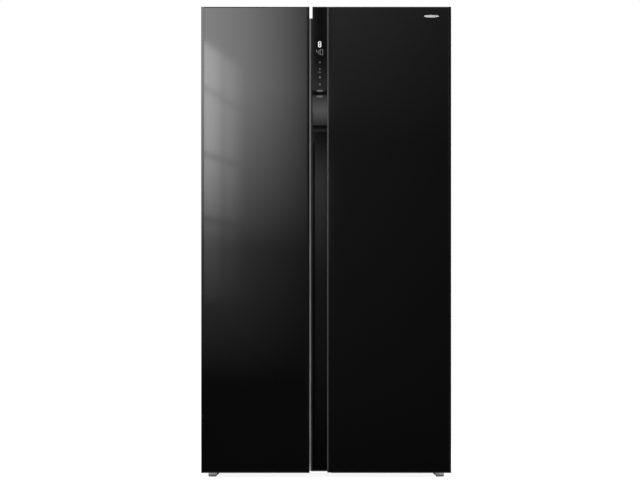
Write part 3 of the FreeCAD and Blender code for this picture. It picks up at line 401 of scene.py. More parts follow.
def painted(name, colour, roughness):
    """Baked paint on sheet steel, with a little orange peel."""
    material, tree, shader, place = surface(name, colour, roughness)
    broad = noise(tree, place, 3.0)
    peel = noise(tree, place, 320.0)
    tinted(tree, shader, broad, [0.95 * part for part in colour], [1.04 * part for part in colour])
    roughened(tree, shader, peel, roughness * 0.92, roughness * 1.1)
    bumped(tree, shader, peel, 0.12, 0.0003)
    shader.inputs["Coat Weight"].default_value = 0.25
    shader.inputs["Coat Roughness"].default_value = 0.2
    return material


def brushed(name, colour, roughness, stretch, metallic=1.0):
    """Brushed metal: the noise is drawn out along one axis."""
    material, tree, shader, place = surface(name, colour, roughness, metallic)
    lines = noise(tree, place, 260.0, stretch, 4.0)
    tinted(tree, shader, lines, [0.86 * part for part in colour], [min(1.0, 1.1 * part) for part in colour])
    roughened(tree, shader, lines, roughness * 0.85, roughness * 1.2)
    bumped(tree, shader, lines, 0.08, 0.0002)
    return material


def zinc(name, colour):
    """Galvanised sheet with its spangle."""
    material, tree, shader, place = surface(name, colour, 0.38, 0.9)
    cells = tree.nodes.new("ShaderNodeTexVoronoi")
    cells.inputs["Scale"].default_value = 190.0
    tree.links.new(place, cells.inputs["Vector"])
    grey = tree.nodes.new("ShaderNodeSeparateColor")
    tree.links.new(cells.outputs["Color"], grey.inputs[0])
    tinted(tree, shader, grey.outputs[0], [0.93 * part for part in colour],
           [min(1.0, 1.04 * part) for part in colour])
    roughened(tree, shader, grey.outputs[1], 0.36, 0.46)
    return material


def black_glass(name):
    """Toughened glass printed black on its back."""
    material, tree, shader, place = surface(name, (0.0025, 0.0025, 0.0026), 0.035)
    smears = noise(tree, place, 2.4)
    tinted(tree, shader, smears, (0.0023, 0.0023, 0.0024), (0.0028, 0.0028, 0.0029))
    roughened(tree, shader, smears, 0.030, 0.042)
    shader.inputs["IOR"].default_value = 1.5
    return material


def gloss_black(name):
    """Polished black plastic, with slow waves in its gloss."""
    material, tree, shader, place = surface(name, (0.0016, 0.0016, 0.0018), 0.035)
    flow = noise(tree, place, 9.0)
    tinted(tree, shader, flow, (0.0014, 0.0014, 0.0016), (0.0018, 0.0018, 0.0020))
    roughened(tree, shader, flow, 0.030, 0.040)
    return material


def clear(name, colour, roughness, weight, ripple):
    """Glass or clear plastic that light passes through."""
    material, tree, shader, place = surface(name, colour, roughness)
    flow = noise(tree, place, 14.0)
    tinted(tree, shader, flow, [0.97 * part for part in colour], colour)
    shader.inputs["Transmission Weight"].default_value = weight
    shader.inputs["IOR"].default_value = 1.49
    bumped(tree, shader, flow, ripple, 0.001)
    return material


def glowing(name, colour, strength, roughness=0.3):
    """A lit mark or lens."""
    material, tree, shader, place = surface(name, colour, roughness)
    soft = noise(tree, place, 400.0)
    tinted(tree, shader, soft, [0.08 * part for part in colour], [0.12 * part for part in colour])
    shader.inputs["Emission Color"].default_value = (*colour, 1)
    shader.inputs["Emission Strength"].default_value = strength
    return material


def two_tone(name, lower, upper, start, end):
    """A moulding that is darker below a height and lighter above it."""
    material, tree, shader, place = surface(name, upper, 0.5)
    height = tree.nodes.new("ShaderNodeSeparateXYZ")
    tree.links.new(place, height.inputs[0])
    spread = tree.nodes.new("ShaderNodeMapRange")
    for label, value in (("From Min", start * MM), ("From Max", end * MM)):
        spread.inputs[label].default_value = value
    tree.links.new(height.outputs["Z"], spread.inputs["Value"])
    tinted(tree, shader, spread.outputs["Result"], lower, upper)
    bumped(tree, shader, noise(tree, place, 700.0), 0.15, 0.0002)
    return material


FINISH = {
    "shell": painted("shell_paint", (0.060, 0.061, 0.064), 0.42),
    "zinc": zinc("zinc_sheet", (0.60, 0.61, 0.62)),
    "mullion": painted("mullion_paint", (0.50, 0.50, 0.505), 0.45),
    "black": moulded("black_moulding", (0.010, 0.010, 0.011), 0.45),
    "white": moulded("liner_white", (0.66, 0.675, 0.68), 0.22, 0.05, 300.0),
    "foam": moulded("foam_core", (0.72, 0.62, 0.38), 0.8, 0.4, 500.0),
    "glass": black_glass("door_glass"),
    "profile": moulded("edge_profile", (0.0025, 0.0025, 0.0026), 0.04, 0.004, 300.0),
    "seal": moulded("gasket_vinyl", (0.23, 0.24, 0.25), 0.6),
    "strip": gloss_black("strip_gloss"),
    "trim": brushed("trim_metal", (0.048, 0.048, 0.050), 0.30, (1, 1, 0.02), 0.5),
    "clear": clear("clear_moulding", (0.965, 0.982, 0.99), 0.06, 0.97, 0.05),
    "shelf": clear("shelf_glass", (0.94, 0.98, 0.965), 0.02, 0.97, 0.01),
    "ice_maker": moulded("ice_maker_moulding", (0.45, 0.46, 0.465), 0.45, 0.05, 300.0),
    "frosted": moulded("frosted_moulding", (0.37, 0.41, 0.43), 0.40, 0.05, 300.0),
    "lens": glowing("lamp_lens", (1.0, 0.98, 0.94), 3.0),
    "compressor": painted("compressor_paint", (0.010, 0.010, 0.011), 0.35),
    "rubber": moulded("grommet_rubber", (0.016, 0.016, 0.016), 0.75),
    "fins": brushed("aluminium_fins", (0.72, 0.73, 0.74), 0.32, (1, 1, 0.05)),
    "copper": brushed("copper_pipe", (0.70, 0.36, 0.22), 0.30, (0.1, 1, 1)),
    "fan": moulded("fan_moulding", (0.030, 0.031, 0.033), 0.5),
    "foot": two_tone("foot_moulding", (0.11, 0.11, 0.115), (0.52, 0.52, 0.53), 6.5, 8.5),
    "steel": brushed("screw_steel", (0.55, 0.56, 0.57), 0.30, (1, 1, 1)),
    "mark_bright": glowing("mark_bright", (1.0, 1.0, 1.0), 1.0),
    "mark_dim": glowing("mark_dim", (0.11, 0.11, 0.115), 1.0),
    "mark_key": glowing("mark_key", (0.080, 0.080, 0.084), 1.0),
    "badge": brushed("badge_metal", (0.80, 0.81, 0.82), 0.30, (0.05, 1, 1)),
    "chrome": brushed("shelf_trim_metal", (0.66, 0.67, 0.68), 0.22, (0.02, 1, 1)),
    "brass": moulded("inlet_pins_brass", (0.62, 0.50, 0.22), 0.30),
}

FINISH_OF = {
    "outer_shell": "shell", "base_pan": "shell", "insulation": "foam", "back_panel": "zinc",
    "rear_cover": "zinc",
    "freezer_liner": "white", "fridge_liner": "white", "evaporator_cover": "white", "air_duct_cover": "white",
    "mullion_cover": "mullion", "mullion_strip": "black", "wall_spacers": "black", "base_frame": "black",
    "control_box_cover": "black", "hinge_covers": "black", "evaporation_tray": "black",
    "mains_inlet": "black",
    "upper_hinges": "steel", "lower_hinges": "steel", "freezer_shelves": "shelf", "fridge_shelves": "shelf",
    "led_lamps": "lens", "ice_maker_frame": "ice_maker", "ice_bin": "frosted", "ice_tray": "white",
    "evaporator": "fins", "condenser": "fins", "refrigerant_pipes": "copper", "compressor": "compressor",
    "compressor_grommets": "rubber", "fan_shroud": "fan", "condenser_fan": "fan", "evaporator_fan": "fan",
    "handle_channel": "strip", "control_panel": "strip", "edge_trim": "trim", "rear_roller_left": "fan",
    "rear_roller_right": "fan", "levelling_leg_left": "foot", "levelling_leg_right": "foot",
    "freezer_drawer_upper": "clear", "freezer_drawer_lower": "clear", "fridge_drawer_upper": "clear",
    "fridge_drawer_lower": "clear",
}
for door_name in (FREEZER, FRIDGE):
    FINISH_OF.update({f"{door_name}_door_glass": "glass", f"{door_name}_door_profiles": "profile",
                      f"{door_name}_door_caps": "black", f"{door_name}_door_foam": "foam",
                      f"{door_name}_door_liner": "white", f"{door_name}_door_gasket": "seal",
                      f"{door_name}_door_bins_lower": "clear", f"{door_name}_door_bins_upper": "clear"})
for node_name, finish_name in FINISH_OF.items():
    NODES[node_name].data.materials.clear()
    NODES[node_name].data.materials.append(FINISH[finish_name])

# ---- Making pieces -------------------------------------------------------------------------------


def body_of(node):
    """The body that a node rides on."""
    return NODES[node]["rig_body"]


def piece(name, body, mesh, finish):
    """A finished piece that rides on a body."""
    mesh.materials.clear()
    mesh.materials.append(FINISH[finish])
    for face in mesh.polygons:
        face.material_index = 0
    thing = bpy.data.objects.new(name, mesh)
    scene.collection.objects.link(thing)
    thing.visible_shadow = finish not in ("clear", "shelf")
    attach(thing, body)
    return thing


def mesh_of(builder, name):
    """A plain mesh from a bmesh, with outward faces."""
    bmesh.ops.recalc_face_normals(builder, faces=builder.faces)
    mesh = bpy.data.meshes.new(name)
    builder.to_mesh(mesh)
    builder.free()
    return mesh


def evaluated(name, source, dress):
    """The plain mesh of a source mesh or curve after its modifiers, which dress adds."""
    thing = bpy.data.objects.new(name, source)
    scene.collection.objects.link(thing)
    dress(thing)
    bpy.context.view_layer.update()
    mesh = bpy.data.meshes.new_from_object(thing.evaluated_get(bpy.context.evaluated_depsgraph_get()))
    mesh.name = name
    bpy.data.objects.remove(thing)
    return mesh


def smoothed(mesh, angle=38):
    """Smooth shading, apart from the sharp edges."""
    mesh.polygons.foreach_set("use_smooth", [True] * len(mesh.polygons))
    mesh.set_sharp_from_angle(angle=math.radians(angle))
    return mesh


def rounded_edges(name, mesh, radius, steps=2, angle=35):
    """The mesh with its sharp edges rounded."""
    def dress(thing):
        bevel = thing.modifiers.new("Round", "BEVEL")
        bevel.width = radius
        bevel.segments = steps
        bevel.limit_method = "ANGLE"
        bevel.angle_limit = math.radians(angle)
        bevel.harden_normals = True
    smoothed(mesh, angle)
    return evaluated(name, mesh, dress)


def merged(node):
    """A merged copy of a node's mesh, with its flat faces joined."""
    builder = bmesh.new()
    builder.from_mesh(NODES[node].data)
    bmesh.ops.remove_doubles(builder, verts=builder.verts, dist=0.02 * MM)
    bmesh.ops.dissolve_limit(builder, angle_limit=math.radians(0.6), verts=builder.verts, edges=builder.edges)
    return mesh_of(builder, node)


def softened(node, radius, steps):
    """A copy of a node with rounded edges, which stands for it."""
    name = node + "_soft"
    mesh = rounded_edges(name, merged(node), radius * MM, steps)
    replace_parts(piece(name, body_of(node), mesh, FINISH_OF[node]), node)


def loft(rings, closed_ends=True):
    """A bmesh skin over rings of points, each ring closed."""
    builder = bmesh.new()
    rows = [[builder.verts.new(point) for point in ring] for ring in rings]
    count = len(rows[0])
    for first, second in zip(rows, rows[1:]):
        for i in range(count):
            builder.faces.new((first[i], first[(i + 1) % count], second[(i + 1) % count], second[i]))
    if closed_ends:
        builder.faces.new(rows[0])
        builder.faces.new(rows[-1])
    return builder


def along(axis, outline, start, end, name):
    """An outline carried along an axis, in millimetres. It gives the other two places in x, y, z order."""
    def point(place, pair):
        spot = list(pair)
        spot.insert("xyz".index(axis), place)
        return Vector(spot) * MM
    return mesh_of(loft([[point(place, pair) for pair in outline] for place in (start, end)]), name)


def together(name, meshes):
    """One mesh from several."""
    builder = bmesh.new()
    for mesh in meshes:
        builder.from_mesh(mesh)
    return mesh_of(builder, name)


def joined(name, node, meshes, finish, radius=0):
    """Several meshes as one piece that rides a node, with edges rounded where a radius is given."""
    mesh = together(name, meshes)
    piece(name, node, rounded_edges(name, mesh, radius * MM) if radius else mesh, finish)


def wire(name, paths, radius, closed=False):
    """Round wire along paths of points in millimetres."""
    curve = bpy.data.curves.new(name, "CURVE")
    curve.dimensions = "3D"
    curve.bevel_depth = radius * MM
    curve.bevel_resolution = 3
    curve.use_fill_caps = True
    for path in paths:
        line = curve.splines.new("POLY")
        line.points.add(len(path) - 1)
        for spot, place in zip(line.points, path):
            spot.co = (*(Vector(place) * MM), 1)
        line.use_cyclic_u = closed
    return smoothed(evaluated(name, curve, lambda thing: None), 50)


# ---- What repeats --------------------------------------------------------------------------------


SOCKETS = {int: "NodeSocketInt", float: "NodeSocketFloat", tuple: "NodeSocketVector"}


class Growth:
    """A geometry node tree with named sizes, which makes one plain mesh for a body."""

    def __init__(self, name, finish, sizes):
        self.name = name
        self.finish = finish
        self.sizes = sizes
        self.tree = bpy.data.node_groups.new(name, "GeometryNodeTree")
        self.tree.interface.new_socket("Geometry", in_out="INPUT", socket_type="NodeSocketGeometry")
        for label, value in sizes.items():
            self.tree.interface.new_socket(label, in_out="INPUT", socket_type=SOCKETS[type(value)])
        self.tree.interface.new_socket("Geometry", in_out="OUTPUT", socket_type="NodeSocketGeometry")
        self.given = self.tree.nodes.new("NodeGroupInput").outputs

    def add(self, kind, settings=None, **inputs):
        """A node with its settings and inputs. An input is a value, a socket or a node."""
        node = self.tree.nodes.new(kind)
        for label, value in (settings or {}).items():
            setattr(node, label, value)
        for label, value in inputs.items():
            number = label[1:]
            key = int(number) if number.isdigit() else label.replace("_", " ")
            self.feed(node.inputs[key], value)
        return node

    def feed(self, socket, value):
        """Sets a socket, or links what comes to it."""
        if isinstance(value, bpy.types.Node):
            value = next(output for output in value.outputs if output.enabled)
        if isinstance(value, bpy.types.NodeSocket):
            self.tree.links.new(value, socket)
        else:
            socket.default_value = value

    def math(self, operation, first, second=0.0):
        """One sum of two values."""
        return self.add("ShaderNodeMath", {"operation": operation}, _0=first, _1=second)

    def made(self, geometry, body, points=None):
        """Finishes the tree, grows it and gives the piece."""
        real = self.add("GeometryNodeRealizeInstances", _0=geometry)
        dressed = self.add("GeometryNodeSetMaterial", _0=real)
        dressed.inputs["Material"].default_value = FINISH[self.finish]
        self.tree.links.new(dressed.outputs[0], self.tree.nodes.new("NodeGroupOutput").inputs[0])

        def dress(thing):
            growth = thing.modifiers.new("Growth", "NODES")
            growth.node_group = self.tree
            for item in self.tree.interface.items_tree:
                if item.in_out == "INPUT" and item.name in self.sizes:
                    growth[item.identifier] = self.sizes[item.name]
        mesh = evaluated(self.name, points or bpy.data.meshes.new(self.name), dress)
        return piece(self.name, body, smoothed(mesh), self.finish)


def marked_points(name, places):
    """Points in millimetres, each with the way that it faces."""
    mesh = bpy.data.meshes.new(name + "_points")
    mesh.from_pydata([Vector(place) * MM for place, facing in places], [], [])
    aim = mesh.attributes.new("aim", "FLOAT_VECTOR", "POINT")
    aim.data.foreach_set("vector", [value for place, facing in places for value in facing])
    return mesh


def facing_aim(growth):
    """The turn that points +Z along each point's aim."""
    aim = growth.add("GeometryNodeInputNamedAttribute", {"data_type": "FLOAT_VECTOR"}, Name="aim")
    return growth.add("FunctionNodeAlignRotationToVector", {"axis": "Z"}, Vector=aim.outputs[0])


def screws(name, body, places, radius=3.6, finish="steel"):
    """Pan head screws with a cross recess."""
    growth = Growth(name, finish, {"Radius": radius * MM, "Height": 0.55 * radius * MM})
    top = growth.math("MULTIPLY", growth.given["Radius"], 0.66)
    head = growth.add("GeometryNodeMeshCone", Vertices=16, Side_Segments=1, Depth=growth.given["Height"],
                      Radius_Bottom=growth.given["Radius"], Radius_Top=top)
    bars = []
    for long_way in (0, 1):
        size = growth.add("ShaderNodeCombineXYZ")
        for axis in range(2):
            share = 1.1 if axis == long_way else 0.24
            growth.feed(size.inputs[axis], growth.math("MULTIPLY", growth.given["Radius"], share))
        growth.feed(size.inputs[2], growth.given["Height"])
        bars.append(growth.add("GeometryNodeMeshCube", Size=size))
    cross = growth.add("GeometryNodeMeshBoolean", {"operation": "UNION", "solver": "EXACT"})
    for bar in bars:
        growth.tree.links.new(bar.outputs[0], cross.inputs[1])
    lift = growth.add("ShaderNodeCombineXYZ", Z=growth.given["Height"])
    raised = growth.add("GeometryNodeTransform", Geometry=cross, Translation=lift)
    recessed = growth.add("GeometryNodeMeshBoolean", {"operation": "DIFFERENCE", "solver": "EXACT"}, _0=head)
    growth.tree.links.new(raised.outputs[0], recessed.inputs[1])
    spread = growth.add("GeometryNodeInstanceOnPoints", Points=growth.given["Geometry"], Instance=recessed,
                        Rotation=facing_aim(growth))
    return growth.made(spread, body, marked_points(name, places))


def louvres(name, body, places, length, finish):
    """Pressed hoods over air slots, in rows."""
    growth = Growth(name, finish, {"Length": length * MM, "Depth": 5.0 * MM, "Rise": 5.5 * MM})
    hood = growth.add("GeometryNodeMeshUVSphere", Segments=12, Rings=8, Radius=0.5)
    size = growth.add("ShaderNodeCombineXYZ", X=growth.given["Length"], Y=growth.given["Depth"],
                      Z=growth.given["Rise"])
    shaped = growth.add("GeometryNodeTransform", Geometry=hood, Scale=size)
    spread = growth.add("GeometryNodeInstanceOnPoints", Points=growth.given["Geometry"], Instance=shaped)
    return growth.made(spread, body, marked_points(name, places))


def fins(name, body, low_corner, high_corner, pitch, finish="fins"):
    """Wavy cooling fins that stand across X, side by side."""
    width, depth, height = (high - low for low, high in zip(low_corner, high_corner))
    middle = [(low + high) / 2 for low, high in zip(low_corner, high_corner)]
    growth = Growth(name, finish, {"Count": int(width / pitch), "Pitch": pitch * MM, "Depth": depth * MM,
                                   "Height": height * MM, "Thickness": 0.4 * MM, "Wave": 1.0 * MM})
    sheet = growth.add("GeometryNodeMeshGrid", Size_X=growth.given["Depth"], Size_Y=growth.given["Height"],
                       Vertices_X=2, Vertices_Y=12)
    quarter = math.radians(90)
    upright = growth.add("GeometryNodeTransform", Geometry=sheet, Rotation=(quarter, 0, quarter))
    place = growth.add("ShaderNodeSeparateXYZ", _0=growth.add("GeometryNodeInputPosition"))
    swing = growth.math("MULTIPLY", growth.math("SINE", growth.math("MULTIPLY", place.outputs[2], 160.0)),
                        growth.given["Wave"])
    sideways = growth.add("ShaderNodeCombineXYZ", X=swing)
    bent = growth.add("GeometryNodeSetPosition", Geometry=upright, Offset=sideways)
    thick = growth.add("GeometryNodeExtrudeMesh", Mesh=bent, Offset_Scale=growth.given["Thickness"],
                       Individual=False)
    back = growth.add("GeometryNodeFlipFaces", Mesh=bent)
    whole = growth.add("GeometryNodeJoinGeometry")
    growth.tree.links.new(thick.outputs[0], whole.inputs[0])
    growth.tree.links.new(back.outputs[0], whole.inputs[0])
    closed = growth.add("GeometryNodeMergeByDistance", Geometry=whole, Distance=0.01 * MM)
    step = growth.add("ShaderNodeCombineXYZ", X=growth.given["Pitch"])
    row = growth.add("GeometryNodeMeshLine", Count=growth.given["Count"], Offset=step,
                     Start_Location=(Vector((low_corner[0] + pitch / 2, middle[1], middle[2])) * MM))
    spread = growth.add("GeometryNodeInstanceOnPoints", Points=row, Instance=closed)
    return growth.made(spread, body)


def ring_guard(name, body, centre, turn, rings, step, spokes, finish):
    """Round guard of wire rings and spokes in front of a fan, in millimetres."""
    growth = Growth(name, finish, {"Rings": rings, "Step": step * MM, "Wire": 0.9 * MM, "Spokes": spokes})
    ring = growth.add("GeometryNodeCurvePrimitiveCircle", Resolution=40, Radius=1.0)
    stops = growth.add("GeometryNodeMeshLine", Count=growth.given["Rings"], Offset=(0, 0, 0))
    number = growth.add("GeometryNodeInputIndex")
    reach = growth.math("MULTIPLY", growth.math("ADD", number, 1.0), growth.given["Step"])
    circles = growth.add("GeometryNodeInstanceOnPoints", Points=stops, Instance=ring,
                         Scale=growth.add("ShaderNodeCombineXYZ", X=reach, Y=reach, Z=1.0))
    full = growth.math("MULTIPLY", growth.given["Rings"], growth.given["Step"])
    spoke = growth.add("GeometryNodeCurvePrimitiveLine", End=growth.add("ShaderNodeCombineXYZ", X=full))
    starts = growth.add("GeometryNodeMeshLine", Count=growth.given["Spokes"], Offset=(0, 0, 0))
    angle = growth.math("DIVIDE", growth.math("MULTIPLY", number, math.tau), growth.given["Spokes"])
    rays = growth.add("GeometryNodeInstanceOnPoints", Points=starts, Instance=spoke,
                      Rotation=growth.add("ShaderNodeCombineXYZ", Z=angle))
    lines = growth.add("GeometryNodeJoinGeometry")
    for part in (circles, rays):
        growth.tree.links.new(part.outputs[0], lines.inputs[0])
    loose = growth.add("GeometryNodeRealizeInstances", _0=lines)
    section = growth.add("GeometryNodeCurvePrimitiveCircle", Resolution=8, Radius=growth.given["Wire"])
    wires = growth.add("GeometryNodeCurveToMesh", Curve=loose, Profile_Curve=section, Fill_Caps=True)
    placed = growth.add("GeometryNodeTransform", Geometry=wires, Translation=Vector(centre) * MM,
                        Rotation=turn)
    return growth.made(placed, body)


# ---- Doors ---------------------------------------------------------------------------------------


SEGMENTS = {"a": (0, 1, 1, 1), "b": (1, 1, 1, 0.5), "c": (1, 0.5, 1, 0), "d": (0, 0, 1, 0),
            "e": (0, 0.5, 0, 0), "f": (0, 1, 0, 0.5), "g": (0, 0.5, 1, 0.5)}
DIGITS = {"8": "abcdefg", "4": "fgbc", "0": "abcdef"}
MARK_RISE = 0.25
BAR_GAP = 0.25
DISPLAY_X = -23.5
DROP = [(0, 4.5), (2.6, -0.6), (2.0, -3.2), (0, -4.2), (-2.0, -3.2), (-2.6, -0.6)]
PADLOCK = [(-2.8, -3.6), (2.8, -3.6), (2.8, 0.6), (1.4, 4.0), (-1.4, 4.0), (-2.8, 0.6)]
KEY_SIZE = (25, 7.5)
KEY_LEVELS = (1430, 1409)


def flat_mark(outline, x, z):
    """A thin raised mark on the panel's face from its outline, in millimetres about its middle."""
    face = FRONT / MM
    rings = [[Vector((x + across, y, z + up)) * MM for across, up in outline]
             for y in (face + 0.1, face - MARK_RISE)]
    return mesh_of(loft(rings), "mark")


def stroke(start, end, width):
    """The outline of a line with pointed ends."""
    way = (Vector(end) - Vector(start)).normalized()
    side = Vector((-way.y, way.x)) * width / 2
    first, last = Vector(start) + way * width / 2, Vector(end) - way * width / 2
    spots = (Vector(start), first + side, last + side, Vector(end), last - side, first - side)
    return [tuple(spot) for spot in spots]


def oval(width, height, count=28):
    """The outline of an oval."""
    turns = [math.tau * i / count for i in range(count)]
    return [(width / 2 * math.cos(turn), height / 2 * math.sin(turn)) for turn in turns]


def digit(character, x, z, width, height, line):
    """The lit bars of one digit."""
    meshes = []
    for bar in DIGITS[character]:
        left, first, right, last = SEGMENTS[bar]
        start, end = [Vector(((side - 0.5) * width, (rise - 0.5) * height))
                      for side, rise in ((left, first), (right, last))]
        gap = (end - start).normalized() * BAR_GAP
        meshes.append(flat_mark(stroke(start + gap, end - gap, line), x, z))
    return meshes


def display():
    """Digits, small signs and two touch keys on the upper part of the strip."""
    mode = digit("8", DISPLAY_X - 0.5, 1602, 8.5, 19, 2.7)
    joined("display_mode_digit", "fridge_door", mode, "mark_bright")
    pair = digit("4", DISPLAY_X - 7.5, 1573, 9, 20, 2.4) + digit("0", DISPLAY_X + 6.5, 1573, 9, 20, 2.4)
    joined("display_temperature_digits", "fridge_door", pair, "mark_dim")
    signs = []
    for turn in range(3):
        angle = math.radians(30 + 60 * turn)
        way = Vector((math.cos(angle), math.sin(angle))) * 4.2
        signs.append((stroke(-way, way, 1.3), 1535))
    signs += [(DROP, 1511), (stroke((-6.5, 0), (6.5, 0), 1.6), 1499), (stroke((0, -4), (0, 4), 1.6), 1499),
              (oval(7.5, 7.5), 1480), (PADLOCK, 1454)]
    meshes = [flat_mark(outline, DISPLAY_X, z) for outline, z in signs]
    joined("display_signs", "fridge_door", meshes, "mark_key")
    joined("touch_keys", "fridge_door", [touch_key(z) for z in KEY_LEVELS], "mark_key")


def touch_key(z):
    """An oval key that follows the strip's face."""
    rings = []
    for lift in (0.2, -MARK_RISE):
        rings.append([Vector((DISPLAY_X + across, FRONT / MM + panel_depth(z + up) + lift, z + up)) * MM
                      for across, up in oval(*KEY_SIZE)])
    return mesh_of(loft(rings), "key")


def panel_depth(z):
    """How far the strip lies behind the door's face, where it starts to curve back, in millimetres."""
    radius, start = 195.0, 1439.7
    return radius - math.sqrt(radius ** 2 - max(0.0, start - z) ** 2)


def badge():
    """A small blank badge at the top of the right door."""
    x, z, y = 390, 1706, FRONT / MM
    outline = [(x + across, z + up) for across, up in oval(56, 9, 36)]
    rings = [[Vector((across, depth, up)) * MM for across, up in outline] for depth in (y + 0.1, y - 0.8)]
    mesh = rounded_edges("blank_badge", mesh_of(loft(rings), "badge"), 0.3 * MM)
    piece("blank_badge", "fridge_door", mesh, "badge")


GASKET_HALF = [(0.50, 0.0), (0.50, 0.7), (0.26, 1.5), (0.42, 2.6), (0.26, 3.6), (0.42, 4.7), (0.28, 5.7),
               (0.47, 6.4), (0.47, 8.9), (0.40, 9.6)]


def gasket(side):
    """The magnetic seal of a door, with its folded bellows."""
    node = f"{side}_door_gasket"
    corner, far = low(node), high(node)
    places = sorted({round(vertex.co.x, 4) for vertex in NODES[node].data.vertices})
    width = places[1] - places[0]
    profile = GASKET_HALF + [(-share, out) for share, out in reversed(GASKET_HALF)]
    rings = []
    for x_end, z_end in ((0, 0), (1, 0), (1, 1), (0, 1), (0, 0)):
        ring = []
        for share, out in profile:
            inset = (0.5 + share) * width
            x = corner.x + inset if x_end == 0 else far.x - inset
            z = corner.z + inset if z_end == 0 else far.z - inset
            ring.append(Vector((x, corner.y + out * MM, z)))
        rings.append(ring)
    builder = loft(rings, closed_ends=False)
    bmesh.ops.remove_doubles(builder, verts=builder.verts, dist=0.001 * MM)
    name = f"{side}_seal_bellows"
    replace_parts(piece(name, body_of(node), mesh_of(builder, name), "seal"), node)


LOWEST_RIM = 250
BIN_STEP = 300


def bin_rims(side):
    """A folded rim along the front edge of each door bin."""
    meshes = []
    for node in (f"{side}_door_bins_lower", f"{side}_door_bins_upper"):
        tops = {round(vertex.co.z / MM) for vertex in NODES[node].data.vertices}
        left, right, front = low(node).x / MM + 1, high(node).x / MM - 1, high(node).y / MM
        for top in sorted(top for top in tops if (top - LOWEST_RIM) % BIN_STEP == 0):
            outline = [(front - 5, top - 9), (front + 0.8, top - 9), (front + 1.8, top - 5),
                       (front + 1.8, top), (front, top + 2.5), (front - 5, top + 2.5)]
            meshes.append(along("x", outline, left, right, "rim"))
    name = f"{side}_bin_rims"
    joined(name, DOOR_OF[side], meshes, "chrome", 0.8)


# ---- Inside --------------------------------------------------------------------------------------


SHELF_LEVELS = (312, 566, 828, 1090, 1352)


def shelf_trims(side):
    """The front strip that holds each glass shelf, with a low lip."""
    node = f"{side}_shelves"
    left, right, front = low(node).x / MM + 1, high(node).x / MM - 1, low(node).y / MM
    meshes = []
    for z in SHELF_LEVELS:
        top = z + 4.2 if z == SHELF_LEVELS[0] else z + 7
        outline = [(front - 3, z - 8), (front + 1.5, z - 8), (front + 1.5, z - 0.4), (front + 7, z - 0.4),
                   (front + 7, z - 3), (front + 9, z - 3), (front + 9, z), (front + 0.3, z + 0.2),
                   (front + 0.3, top), (front - 2, top), (front - 3, top - 1)]
        meshes.append(along("x", outline, left, right, "trim"))
    name = f"{side}_shelf_trims"
    joined(name, "cabinet", meshes, "chrome", 0.5)


def drawer_fronts(side, level):
    """A satin band with a finger lip along the top of a drawer's front."""
    node = f"{side}_drawer_{level}"
    left, right = low(node).x / MM + 4, high(node).x / MM - 4
    front, top = low(node).y / MM, high(node).z / MM
    outline = [(front - 1.6, top - 30), (front + 0.4, top - 32), (front + 0.4, top - 1), (front - 6, top - 1),
               (front - 7.5, top - 4), (front - 6.5, top - 7), (front - 1.6, top - 8)]
    name = f"{side}_drawer_{level}_band"
    piece(name, node, rounded_edges(name, along("x", outline, left, right, name), 0.7 * MM), "chrome")


def lamp_frames():
    """The moulded frames round the ceiling lamps."""
    meshes = []
    low_corner, high_corner = low("led_lamps") / MM, high("led_lamps") / MM
    places = sorted({round(vertex.co.x / MM, 1) for vertex in NODES["led_lamps"].data.vertices})
    for left, right in zip(places[::2], places[1::2]):
        if right - left < 10:
            continue
        z = high_corner.z
        rings = []
        for out, height in ((5, z), (5, z - 3), (0.2, z - 4.5), (0.2, z)):
            x_ends = (left - out, right + out)
            y_ends = (low_corner.y - out, high_corner.y + out)
            rings.append([Vector((x_ends[i], y_ends[j], height)) * MM
                          for i, j in ((0, 0), (1, 0), (1, 1), (0, 1))])
        builder = loft(rings + rings[:1], closed_ends=False)
        bmesh.ops.remove_doubles(builder, verts=builder.verts, dist=0.001 * MM)
        meshes.append(mesh_of(builder, "frame"))
    joined("lamp_frames", "cabinet", meshes, "white", 0.5)


def cold_coil():
    """The evaporator: fins on a bent tube."""
    corner, far = low("evaporator") / MM, high("evaporator") / MM
    block = fins("evaporator_fins", "cabinet", (corner.x + 8, corner.y + 1, corner.z + 2),
                 (far.x - 3, far.y - 1, far.z - 4), 5.0)
    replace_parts(block, "evaporator")
    paths = []
    for y in (corner.y + 10, far.y - 10):
        path = []
        rows = 10
        rise = (far.z - corner.z - 40) / rows
        for row in range(rows + 1):
            z = corner.z + 18 + row * rise
            ends = (corner.x + 4, far.x - 4) if row % 2 == 0 else (far.x - 4, corner.x + 4)
            path += [(ends[0], y, z), (ends[1], y, z)]
        paths.append(path)
    piece("evaporator_tube", "cabinet", wire("evaporator_tube", paths, 3.6), "fins")


def fan_guard():
    """The guard in front of the evaporator's fan."""
    middle = (low("evaporator_fan") + high("evaporator_fan")) / 2 / MM
    centre = (middle.x, low("evaporator_cover").y / MM + 2.5, 1180)
    ring_guard("evaporator_fan_guard", "cabinet", centre, (math.radians(90), 0, 0), 6, 8.5, 6, "white")


# ---- Back and machine space ----------------------------------------------------------------------


def back_beads():
    """Stiffening beads pressed into the back panel and its cover."""
    y = high("back_panel").y / MM + 0.1

    def frame_path(left, right, bottom, top, corner):
        path = []
        for x, z, start in ((right, top, 0), (left, top, 90), (left, bottom, 180), (right, bottom, 270)):
            centre = (x - corner if x == right else x + corner, z - corner if z == top else z + corner)
            for step in range(7):
                turn = math.radians(start + 15 * step)
                path.append((centre[0] + corner * math.cos(turn), y, centre[1] + corner * math.sin(turn)))
        return path

    paths = [frame_path(-425, 425, 285, 1660, 40), frame_path(-292, 60, 480, 1385, 60),
             frame_path(92, 308, 480, 1385, 60)]
    piece("back_panel_beads", "cabinet", wire("back_panel_beads", paths, 2.4, closed=True), "zinc")


